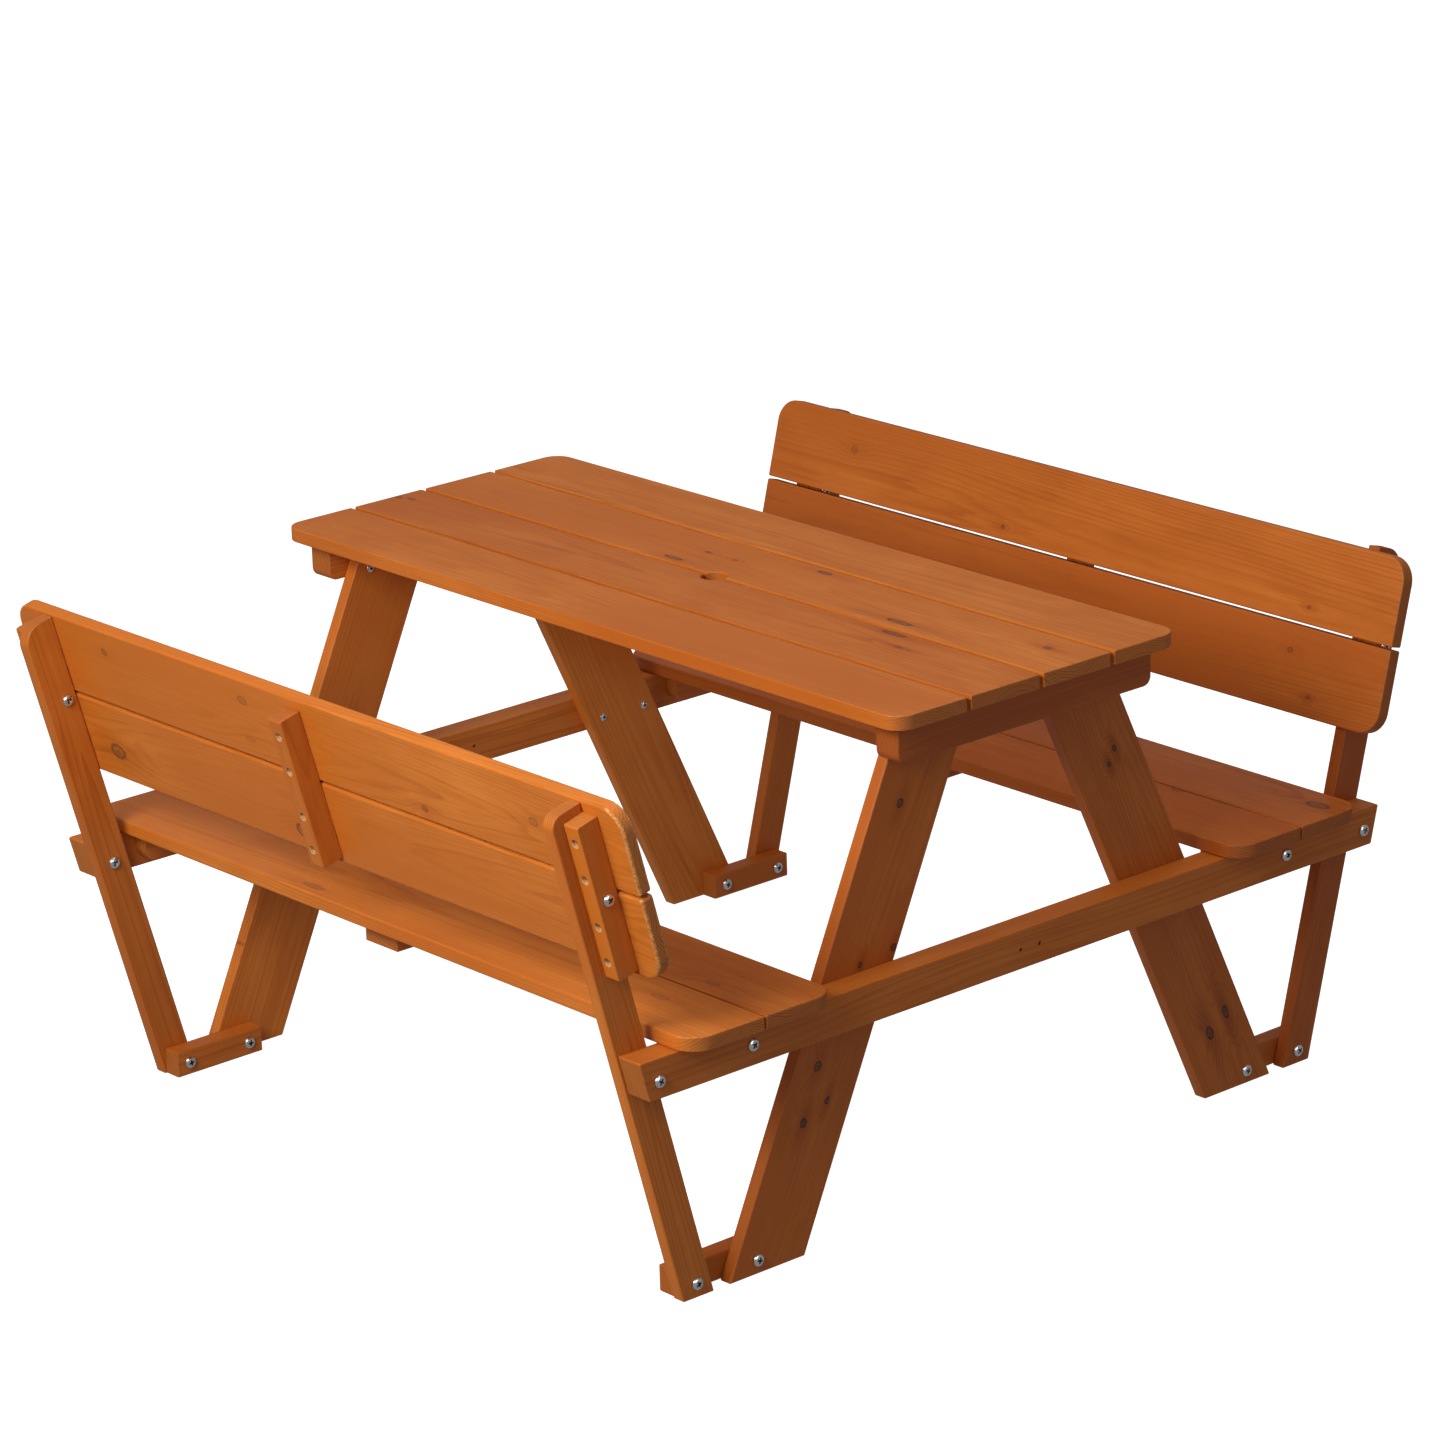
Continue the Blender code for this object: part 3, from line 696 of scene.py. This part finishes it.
def add_attributes(item, matrix, to_grain, tone, rough_end):
    """Store grain coordinates, tone, end grain, rounded edges and worn ends on a finished piece."""
    mesh = item.data
    count = len(mesh.vertices)
    points = np.empty(count * 3)
    mesh.vertices.foreach_get("co", points)
    points = np.c_[points.reshape(-1, 3), np.ones(count)] @ np.array(to_grain).T
    grain = mesh.attributes.new("grain", "FLOAT_VECTOR", "POINT")
    grain.data.foreach_set("vector", points[:, :3].astype(np.float32).ravel())
    normals = np.empty(len(mesh.polygons) * 3)
    mesh.polygons.foreach_get("normal", normals)
    turned = normals.reshape(-1, 3) @ np.array(matrix.to_3x3())
    lengthwise, _, through = np.abs(turned).T
    end = np.clip((lengthwise - END_FROM) / END_OVER, 0, 1)
    edge = ((through > EDGE_TILT[0]) & (through < EDGE_TILT[1])).astype(float)
    worn = edge * (lengthwise > WORN_FROM) * rough_end
    floats = {"tone": np.full(count, tone), "end_grain": end, "edge": edge, "worn": worn}
    for name, values in floats.items():
        stored = mesh.attributes.new(name, "FLOAT", "POINT" if name == "tone" else "FACE")
        stored.data.foreach_set("value", values.astype(np.float32))


def wood_piece(cad_node, outline, thickness, matrix, rounding, slot, cuts=None, inside=None):
    """Build a piece in place of a CAD node. cuts is a bmesh of everything drilled out of it, and
    inside is the material of its holes, where that isn't the piece's own."""
    to_grain = grain_frame(cad_node, matrix)
    knots = [(to_grain @ Vector(point), *rest) for point, *rest in KNOTS.get(cad_node, ())]
    material = wood_material(f"knotty_{cad_node}", knots) if knots else CLEAR_WOODS[slot]
    item = rounded_prism(f"wood_{cad_node}", outline, thickness, matrix, rounding)
    item.data.materials.append(material)
    if cuts is not None:
        cutter = mesh_object("cutter", cuts)
        cutter.data.materials.append(inside or material)
        subtract(item, cutter)
    rough_end = ROUGH_ENDS.get(cad_node, PLAIN_END)
    add_attributes(item, matrix, to_grain, TONES.get(cad_node, 0.0), rough_end)
    smooth(item)
    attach(item, "root")
    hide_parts(cad_node)


def drill(bm, point, direction, radius, depth):
    """A plain hole from a surface point, starting clear of the surface."""
    profile = [(radius, -depth), (radius, LONG_CUT_CLEARANCE)]
    lathe(bm, profile, looking_along(point, direction), HOLE_STEPS)


def countersink(bm, point, direction, radius):
    """A 45 degree countersink whose mouth has that radius, with a clearance hole below."""
    core = radius * COUNTERSINK_CORE
    profile = [(core, -COUNTERSINK_DEPTH), (core, core - radius), (radius, 0), (radius, CUT_CLEARANCE)]
    lathe(bm, profile, looking_along(point, direction), POCKET_STEPS)


def sunk_screw(bm, cad_node, point, direction):
    """A screw whose head sits below the surface, in a round pocket with an eased mouth."""
    screws.append((f"screws_{cad_node}", "cross", point, direction))
    ease = POCKET_MOUTH_RADIUS - POCKET_RADIUS
    profile = [
        (PILOT_RADIUS, -PILOT_DEPTH),
        (PILOT_RADIUS, -SUNK_SCREW_DEPTH - POCKET_FLOOR_DIP),
        (POCKET_RADIUS, -SUNK_SCREW_DEPTH - POCKET_FLOOR_LIP),
        (POCKET_RADIUS, -ease),
        (POCKET_MOUTH_RADIUS, 0),
        (POCKET_MOUTH_RADIUS, CUT_CLEARANCE),
    ]
    lathe(bm, profile, looking_along(point, direction), POCKET_STEPS)


def bare_piece(cad_node, outline, thickness, matrix, cuts):
    """A batten that was drilled after staining, so that its holes show bare wood."""
    wood_piece(cad_node, outline, thickness, matrix, BATTEN_ROUNDING, "batten_wood", cuts, BARE_WOOD)


def rod_along_x(bm, middle, radius, reach):
    """A closed cylinder along X, reaching so far to each side of its middle."""
    matrix = Matrix.Translation(middle) @ Z.rotation_difference(X).to_matrix().to_4x4()
    lathe(bm, [(radius, -reach), (radius, reach)], matrix, HOLE_STEPS)


def box_of(cad_node):
    """The centre and size of a CAD node's box."""
    low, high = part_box(cad_node)
    return (low + high) / 2, high - low


def bolt_hole(bm, cad_node):
    """The clearance hole for a CAD bolt, right through whatever it passes."""
    middle, size = box_of(cad_node)
    rod_along_x(bm, middle, BOLT_HOLE_RADIUS, size.x / 2 + CUT_CLEARANCE)


def leaning_frame(bench_name, bench):
    """Origin, across and up of a bench's posts and backrest, found from its upper board."""
    across = Vector((0, bench * math.cos(BACK_LEAN), -math.sin(BACK_LEAN)))
    up = Vector((0, bench * math.sin(BACK_LEAN), math.cos(BACK_LEAN)))
    centre, _ = box_of(f"back_board_{bench_name}_upper")
    origin = centre + across * (GAP + BOARD_THICKNESS / 2) - up * (BACK_TOP - BOARD_WIDTH / 2)
    origin.x = 0
    return origin, across, up


def make_tabletop():
    boards = [f"tabletop_board_{number}" for number in (1, 2, 3, 4)]
    for number, cad_node in enumerate(boards):
        centre, size = box_of(cad_node)
        near = TOP_CORNER_RADIUS if number == 0 else 0
        far = TOP_CORNER_RADIUS if number == len(boards) - 1 else 0
        outline = rectangle(size.x, size.y, (near, near, far, far))
        cuts = None
        if number in (1, 2):
            cuts = bmesh.new()
            parasol_hole(cuts, centre.z + size.z / 2, centre.z - size.z / 2)
        wood_piece(cad_node, outline, size.z, place(centre, X, Y), TOP_ROUNDING, "tabletop_wood", cuts)


def parasol_hole(bm, top, bottom):
    radius, mouth = PARASOL_HOLE_RADIUS, PARASOL_HOLE_RADIUS + PARASOL_HOLE_EASE
    profile = [
        (mouth, bottom - CUT_CLEARANCE), (mouth, bottom), (radius, bottom + PARASOL_HOLE_EASE),
        (radius, top - PARASOL_HOLE_EASE), (mouth, top), (mouth, top + CUT_CLEARANCE),
    ]
    lathe(bm, profile, Matrix(), PARASOL_HOLE_STEPS)


def make_top_battens():
    """Aprons at both ends and the middle batten, screwed up into the boards."""
    for side_name in SIDES:
        cad_node = f"top_apron_{side_name}"
        centre, size = box_of(cad_node)
        radius = APRON_CORNER_RADIUS
        outline = rectangle(size.y, size.z, (radius, radius, 0, 0))
        cuts = bmesh.new()
        for y in board_middles():
            point = Vector((centre.x, y * APRON_SCREW_SPREAD, centre.z - size.z / 2))
            sunk_screw(cuts, cad_node, point, Z)
        wood_piece(cad_node, outline, size.x, place(centre, Y, Z), FRAME_ROUNDING, "frame_wood", cuts)
    cad_node = "top_middle_batten"
    centre, size = box_of(cad_node)
    cuts = bmesh.new()
    parasol_hole(cuts, centre.z + size.z / 2, centre.z - size.z / 2)
    for y in board_middles():
        x = math.copysign(TOP_BATTEN_SCREW_X, y)
        point = Vector((x, y * TOP_BATTEN_SCREW_SPREAD, centre.z - size.z / 2))
        sunk_screw(cuts, cad_node, point, Z)
    bare_piece(cad_node, rectangle(size.y, size.x), size.z, place(centre, Y, -X), cuts)


def board_middles():
    return [box_of(f"tabletop_board_{number}")[0].y for number in (1, 2, 3, 4)]


def make_legs():
    """The legs. Their outline is worked out in Y and Z and then taken into its own frame."""
    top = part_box("leg_near_right")[1].z
    sine, cosine = math.sin(LEG_LEAN), math.cos(LEG_LEAN)
    up, sideways = Vector((-sine, cosine)), Vector((cosine, sine))
    foot_inner = LEG_FOOT_OUTER_Y - LEG_WIDTH / cosine
    drift = top * math.tan(LEG_LEAN)
    middle = Vector(((LEG_FOOT_OUTER_Y + foot_inner - drift) / 2, top / 2))
    outline = []
    for corner in (
        (LEG_FOOT_OUTER_Y, 0), (foot_inner, 0),
        (foot_inner - drift, top), (LEG_FOOT_OUTER_Y - drift, top),
    ):
        offset = Vector(corner) - middle
        outline.append((offset.dot(up), offset.dot(sideways)))
    for bench_name, side_name in CORNERS:
        bench, side = BENCHES[bench_name], SIDES[side_name]
        cad_node = f"leg_{bench_name}_{side_name}"
        centre, size = box_of(cad_node)
        matrix = place(
            Vector((centre.x, bench * middle.x, middle.y)),
            Vector((0, bench * up.x, up.y)),
            Vector((0, bench * sideways.x, sideways.y)),
        )
        inner_x = centre.x - side * size.x / 2
        cuts = bmesh.new()
        brace_leg_hole(cuts, bench_name, side_name)
        into = X * side
        for y, z in LEG_SCREWS:
            point = Vector((inner_x, bench * y, z))
            countersink(cuts, point, into, LEG_SCREW_RADIUS)
            screws.append((f"screws_{cad_node}", "hex", point, into))
        wood_piece(cad_node, outline, size.x, matrix, FRAME_ROUNDING, "frame_wood", cuts)


def brace_leg_bolt(bench_name, side_name):
    """The X of both ends, the Y and the Z of the bolt that joins a leg to its foot brace."""
    side = SIDES[side_name]
    brace, brace_size = box_of(f"brace_{bench_name}_{side_name}")
    leg, leg_size = box_of(f"leg_{bench_name}_{side_name}")
    low, high = sorted((brace.x - side * brace_size.x / 2, leg.x + side * leg_size.x / 2))
    return low, high, BENCHES[bench_name] * BRACE_LEG_BOLT_Y, brace.z


def brace_leg_hole(bm, bench_name, side_name):
    low, high, y, z = brace_leg_bolt(bench_name, side_name)
    middle, reach = Vector(((low + high) / 2, y, z)), (high - low) / 2
    rod_along_x(bm, middle, BOLT_HOLE_RADIUS, reach + LONG_CUT_CLEARANCE)


def make_rails():
    for side_name, side in SIDES.items():
        cad_node = f"rail_{side_name}"
        centre, size = box_of(cad_node)
        half_top, half_bottom = [
            RAIL_END_AT_FLOOR_Y + (centre.z + step * size.z / 2) * math.tan(BACK_LEAN)
            for step in (1, -1)
        ]
        half_height, radius = size.z / 2, RAIL_CORNER_RADIUS
        outline = rounded([
            (-half_bottom, -half_height, radius), (half_bottom, -half_height, radius),
            (half_top, half_height, radius), (-half_top, half_height, radius),
        ])
        cuts = bmesh.new()
        for bench_name in BENCHES:
            bolt_hole(cuts, f"post_rail_bolt_{bench_name}_{side_name}")
            bolt_hole(cuts, f"seat_rail_bolt_{bench_name}_{side_name}")
        for step in (-1, 1):
            face = Vector((centre.x + side * size.x / 2, step * RAIL_SMALL_HOLE_Y, centre.z))
            drill(cuts, face, -side * X, RAIL_SMALL_HOLE_RADIUS, size.x + LONG_CUT_CLEARANCE)
        wood_piece(cad_node, outline, size.x, place(centre, Y, Z), FRAME_ROUNDING, "frame_wood", cuts)


def make_seats():
    radius = SEAT_CORNER_RADIUS
    for bench_name, bench in BENCHES.items():
        for position in ("inner", "outer"):
            cad_node = f"seat_board_{bench_name}_{position}"
            centre, size = box_of(cad_node)
            low_side = (position == "inner") == (bench > 0)
            radii = (radius, radius, 0, 0) if low_side else (0, 0, radius, radius)
            outline = rectangle(size.x, size.y, radii)
            wood_piece(cad_node, outline, size.z, place(centre, X, Y), BOARD_ROUNDING, "seat_wood")
        make_seat_battens(bench_name)


def make_seat_battens(bench_name):
    """The batten against each rail, rounded below, and the flat one under the middle."""
    for side_name in (*SIDES, "middle"):
        cad_node = f"seat_batten_{bench_name}_{side_name}"
        centre, size = box_of(cad_node)
        cuts = bmesh.new()
        at_end = side_name in SIDES
        for index, step in enumerate(SEAT_END_BATTEN_SCREWS if at_end else SEAT_MIDDLE_BATTEN_SCREWS):
            aside = 0 if at_end else SEAT_MIDDLE_SCREW_X * (-1) ** index
            point = Vector((centre.x + aside, centre.y + step, centre.z - size.z / 2))
            sunk_screw(cuts, cad_node, point, Z)
        if at_end:
            radius = SEAT_END_BATTEN_RADIUS
            outline = rectangle(size.y, size.z, (radius, radius, 0, 0))
            bolt_hole(cuts, f"seat_rail_bolt_{bench_name}_{side_name}")
            matrix, thickness = place(centre, Y, Z), size.x
        else:
            outline, matrix, thickness = rectangle(size.y, size.x), place(centre, Y, -X), size.z
        bare_piece(cad_node, outline, thickness, matrix, cuts)


def make_backrest(bench_name, bench):
    """Boards, posts and battens of one bench, in its leaning frame."""
    origin, across, up = leaning_frame(bench_name, bench)
    radius = BACK_CORNER_RADIUS
    for position, radii in (("upper", (0, 0, radius, radius)), ("lower", (radius, radius, 0, 0))):
        cad_node = f"back_board_{bench_name}_{position}"
        centre, _ = box_of(cad_node)
        outline = rectangle(BOARD_LENGTH, BOARD_WIDTH, radii)
        rounding = ROUGH_END_ROUNDING if cad_node in ROUGH_ENDS else BOARD_ROUNDING
        wood_piece(cad_node, outline, BOARD_THICKNESS, place(centre, X, up), rounding, "backrest_wood")

    slope = POST_WIDTH * math.tan(BACK_LEAN)
    low = BACK_BATTEN_MIDDLE - BACK_BATTEN_LENGTH / 2
    high = BACK_BATTEN_MIDDLE + BACK_BATTEN_LENGTH / 2
    eased = BACK_BATTEN_RADIUS
    batten = rounded([
        (low, 0, 0), (high, 0, 0), (high, BACK_BATTEN_DEPTH, eased), (low, BACK_BATTEN_DEPTH, eased),
    ])
    for side_name in (*SIDES, "middle"):
        cad_node = f"back_batten_{bench_name}_{side_name}"
        batten_x = box_of(cad_node)[0].x
        cuts = bmesh.new()
        for height in BACK_BATTEN_SCREWS:
            point = origin + up * height + across * BACK_BATTEN_DEPTH + X * batten_x
            sunk_screw(cuts, cad_node, point, -across)
        if side_name in SIDES:
            bolt_hole(cuts, f"back_batten_bolt_{bench_name}_{side_name}")
        matrix = place(origin + X * batten_x, up, across)
        bare_piece(cad_node, batten, BACK_BATTEN_WIDTH, matrix, cuts)
    for side_name in SIDES:
        cad_node = f"post_{bench_name}_{side_name}"
        centre, size = box_of(cad_node)
        top, corner = POST_TOPS[f"{bench_name}_{side_name}"]
        post = rounded([(0, 0, 0), (top, 0, 0), (top, POST_WIDTH, corner), (slope, POST_WIDTH, 0)])
        cuts = bmesh.new()
        for kind in ("post_rail_bolt", "back_batten_bolt", "brace_post_bolt"):
            bolt_hole(cuts, f"{kind}_{bench_name}_{side_name}")
        matrix = place(origin + X * centre.x, up, across)
        wood_piece(cad_node, post, size.x, matrix, FRAME_ROUNDING, "frame_wood", cuts)


def make_braces():
    for bench_name, side_name in CORNERS:
        cad_node = f"brace_{bench_name}_{side_name}"
        centre, size = box_of(cad_node)
        cuts = bmesh.new()
        bolt_hole(cuts, f"brace_post_bolt_{bench_name}_{side_name}")
        brace_leg_hole(cuts, bench_name, side_name)
        outline = rectangle(size.y, size.z)
        wood_piece(cad_node, outline, size.x, place(centre, Y, Z), FRAME_ROUNDING, "frame_wood", cuts)


# ---------- fasteners


# Half the width of a cross recess, and half that of an arm, as shares of the recess's own sizes
CROSS_TIP = (0.17, 0.32)
CROSS_MOUTH = (0.58, 0.5)
RECESS_CLEARANCE = 0.001


def cross_cutter(width, depth, arm):
    """A tapered cross recess whose mouth is at Z 0, as one closed solid."""
    bm = bmesh.new()
    rings = []
    for height, shares in ((-depth, CROSS_TIP), (RECESS_CLEARANCE, CROSS_MOUTH)):
        half, thick = width * shares[0], arm * shares[1]
        quarter = [(half, -thick), (half, thick), (thick, thick)]
        ring = []
        for turn in range(4):
            rotation = Matrix.Rotation(turn * math.pi / 2, 2)
            ring += [bm.verts.new((*(rotation @ Vector(point)), height)) for point in quarter]
        rings.append(ring)
    bottom, top = rings
    bm.faces.new(top)
    bm.faces.new(bottom[::-1])
    for step in range(len(top)):
        after = (step + 1) % len(top)
        bm.faces.new((bottom[step], bottom[after], top[after], top[step]))
    bmesh.ops.recalc_face_normals(bm, faces=bm.faces)
    return bm


def head_mesh(name, profile, recess, height):
    """A screw or bolt head, from its profile less a recess whose mouth is at that height."""
    bm = bmesh.new()
    lathe(bm, profile)
    bmesh.ops.recalc_face_normals(bm, faces=bm.faces)
    item = mesh_object(name, bm)
    item.data.materials.append(ZINC)
    cutter = mesh_object("recess", recess)
    # The recess walls take the near-black zinc, a painted shade inside the cross or hex recess
    cutter.data.materials.append(ZINC_PAINTED_SHADE)
    cutter.location.z = height
    bpy.context.view_layer.update()
    subtract(item, cutter)
    mesh = item.data
    bpy.data.objects.remove(item, do_unlink=True)
    return mesh


def hex_cutter(flats, depth):
    """A hexagonal socket whose mouth is at Z 0."""
    bm = bmesh.new()
    radius = flats / math.sqrt(3)
    profile = [(radius * 0.9, -depth), (radius, -depth * 0.85), (radius, RECESS_CLEARANCE)]
    lathe(bm, profile, Matrix(), 6)
    bmesh.ops.recalc_face_normals(bm, faces=bm.faces)
    return bm


def make_heads():
    """The pan head of the bolts and the two kinds of screw head, on or below the surface at Z 0."""
    r, h = BOLT_HEAD_RADIUS, BOLT_HEAD_HEIGHT
    pan = [
        (r * 0.97, 0), (r, 0.0002), (r, 0.0007), (r * 0.98, h * 0.42), (r * 0.92, h * 0.62),
        (r * 0.82, h * 0.79), (r * 0.68, h * 0.91), (r * 0.48, h * 0.98), (0, h),
    ]
    s = LEG_SCREW_RADIUS - 0.0002
    oval_hex = [
        (s * 0.4, -s * 0.6), (s * 0.96, -0.0002), (s, 0.0001), (s * 0.90, 0.0006), (s * 0.70, 0.0011),
        (s * 0.45, 0.0014), (0, 0.0015),
    ]
    b = SUNK_SCREW_RADIUS
    flat_cross = [(b * 0.42, -b * 0.58), (b, -0.0001), (b * 0.97, 0.0001), (0, 0.0002)]
    return {
        "pan": head_mesh("pan_head", pan, cross_cutter(*PAN_RECESS), h),
        "hex": head_mesh("hex_head", oval_hex, hex_cutter(*HEX_RECESS), HEX_RECESS_HEIGHT),
        "cross": head_mesh("cross_head", flat_cross, cross_cutter(*CROSS_RECESS), CROSS_RECESS_HEIGHT),
    }


def add_head(bm, mesh, matrix):
    """Add a head, turned at random about its own axis."""
    copied = mesh.copy()
    copied.transform(matrix @ Matrix.Rotation(chance.uniform(0, math.pi), 4, "Z"))
    bm.from_mesh(copied)
    bpy.data.meshes.remove(copied)


def metal_piece(name, bm, cad_node=None):
    bmesh.ops.recalc_face_normals(bm, faces=bm.faces)
    item = mesh_object(name, bm)
    # The second material is the painted shade of the recesses in the heads
    for material in (ZINC, ZINC_PAINTED_SHADE):
        item.data.materials.append(material)
    smooth(item)
    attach(item, "root")
    if cad_node:
        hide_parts(cad_node)


def make_bolt(name, low_x, high_x, y, z, heads, cad_node=None):
    """A bolt along X whose pan heads bear on the faces at low_x and high_x."""
    bm = bmesh.new()
    for end, face in ((-1, low_x), (1, high_x)):
        matrix = looking_along(Vector((face, y, z)), -end * X)
        add_head(bm, heads["pan"], matrix)
    middle = Vector(((low_x + high_x) / 2, y, z))
    rod_along_x(bm, middle, BOLT_SHANK_RADIUS, (high_x - low_x) / 2)
    metal_piece(name, bm, cad_node)


def make_bolts(heads):
    for cad_node in sorted(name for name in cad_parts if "_bolt_" in name):
        low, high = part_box(cad_node)
        y, z = (low.y + high.y) / 2, (low.z + high.z) / 2
        low_x, high_x = low.x + BOLT_HEAD_HEIGHT, high.x - BOLT_HEAD_HEIGHT
        make_bolt(f"steel_{cad_node}", low_x, high_x, y, z, heads, cad_node)
    for bench_name, side_name in CORNERS:
        low_x, high_x, y, z = brace_leg_bolt(bench_name, side_name)
        name = f"steel_brace_leg_bolt_{bench_name}_{side_name}"
        make_bolt(name, low_x - GAP, high_x + GAP, y, z, heads)


def make_screws(heads):
    """One piece for all the screws of a member."""
    together = {}
    for name, kind, point, direction in screws:
        together.setdefault(name, []).append((kind, point, direction))
    for name, fitted in together.items():
        bm = bmesh.new()
        for kind, point, direction in fitted:
            sunk = SUNK_SCREW_DEPTH if kind == "cross" else 0
            matrix = looking_along(point + Vector(direction).normalized() * sunk, direction)
            add_head(bm, heads[kind], matrix)
        metal_piece(name, bm)


# ---------- camera, light and floor

CAMERA_PLACE = Vector((3.8666, -3.3549, 2.0493))
CAMERA_AZIMUTH = math.radians(49.04)
CAMERA_ELEVATION = math.radians(18.31)
CAMERA_ROLL = math.radians(-1.80)
CAMERA_LENS = 140.5
CAMERA_SENSOR = 36.0
CAMERA_REACH = 500.0


def make_camera():
    back = Vector((
        math.sin(CAMERA_AZIMUTH) * math.cos(CAMERA_ELEVATION),
        -math.cos(CAMERA_AZIMUTH) * math.cos(CAMERA_ELEVATION),
        math.sin(CAMERA_ELEVATION),
    ))
    right = Z.cross(back).normalized()
    up = back.cross(right)
    turn = Matrix((right, up, back)).transposed() @ Matrix.Rotation(CAMERA_ROLL, 3, "Z")
    camera = bpy.data.objects.new("camera", bpy.data.cameras.new("camera"))
    camera.data.lens = CAMERA_LENS
    camera.data.sensor_width = CAMERA_SENSOR
    camera.data.clip_end = CAMERA_REACH
    camera.matrix_world = Matrix.Translation(CAMERA_PLACE) @ turn.to_4x4()
    bpy.context.collection.objects.link(camera)
    bpy.context.scene.camera = camera


def area_light(name, position, target, width, height, power, for_gleams=False):
    """A soft rectangular light. One for gleams shows only in reflections."""
    light = bpy.data.lights.new(name, "AREA")
    light.shape = "RECTANGLE"
    light.size, light.size_y = width, height
    light.energy = power
    item = bpy.data.objects.new(name, light)
    item.location = position
    item.rotation_euler = (Vector(target) - Vector(position)).to_track_quat("-Z", "Y").to_euler()
    item.visible_camera = False
    item.visible_diffuse = not for_gleams
    bpy.context.collection.objects.link(item)


AMBIENT = 0.25
# Name, place, what it faces, width, height and power
SOFTBOXES = (
    ("front_softbox", (0.45, -2.2, 1.7), (0, -0.1, 0.35), 1.2, 1.0, 51.0),
    ("top_softbox", (0, 0, 3.2), (0, 0, 0.4), 2.4, 2.4, 23.0),
)
CARD = ("side_card", (3.2, -0.6, 1.6), (0.4, 0, 0.3), 1.6, 1.6, 40.0)
WHITE = (1.0, 1.0, 1.0, 1.0)
BLACK = (0.0, 0.0, 0.0, 1.0)
FLOOR_COLOUR = (0.50, 0.50, 0.50, 1.0)
FLOOR_GLOW = 0.97
FLOOR_DROP = 0.0002
STAGE_RADIUS = 60.0
STAGE_STEPS = 96
WALL_BOTTOM = -1.0
WALL_TOP = 40.0


def make_lights():
    """A broad soft light from the front, a weaker one overhead, a card for gleams and a surround."""
    for softbox in SOFTBOXES:
        area_light(*softbox)
    area_light(*CARD, for_gleams=True)
    world = bpy.data.worlds.new("surround")
    world.use_nodes = True
    background = world.node_tree.nodes["Background"]
    background.inputs["Color"].default_value = WHITE
    background.inputs["Strength"].default_value = AMBIENT
    bpy.context.scene.world = world


def stage_material(name, colour, glow):
    material, _, shader = new_material(name)
    shader.inputs["Base Color"].default_value = colour
    shader.inputs["Roughness"].default_value = 0.9
    shader.inputs["Specular IOR Level"].default_value = 0.0
    shader.inputs["Emission Color"].default_value = WHITE
    shader.inputs["Emission Strength"].default_value = glow
    return material


def make_stage():
    """A pale floor, and a far white wall all round that only shows behind it."""
    bm = bmesh.new()
    bmesh.ops.create_circle(bm, cap_ends=True, segments=STAGE_STEPS, radius=STAGE_RADIUS)
    floor = mesh_object("floor", bm)
    floor.location.z = -FLOOR_DROP
    floor.data.materials.append(stage_material("floor", FLOOR_COLOUR, FLOOR_GLOW))
    bm = bmesh.new()
    lathe(bm, [(STAGE_RADIUS, WALL_BOTTOM), (STAGE_RADIUS, WALL_TOP)], Matrix(), STAGE_STEPS)
    wall = mesh_object("wall", bm)
    wall.data.materials.append(stage_material("wall", BLACK, 1.0))
    for item in (floor, wall):
        item.visible_diffuse = False
        item.visible_glossy = False
    wall.visible_shadow = False


# ---------- build

make_camera()
make_lights()
make_stage()
make_tabletop()
make_top_battens()
make_legs()
make_rails()
make_seats()
for bench_name, bench in BENCHES.items():
    make_backrest(bench_name, bench)
make_braces()
head_meshes = make_heads()
make_bolts(head_meshes)
make_screws(head_meshes)
for mesh in head_meshes.values():
    bpy.data.meshes.remove(mesh)
bpy.context.scene.view_settings.view_transform = "Standard"
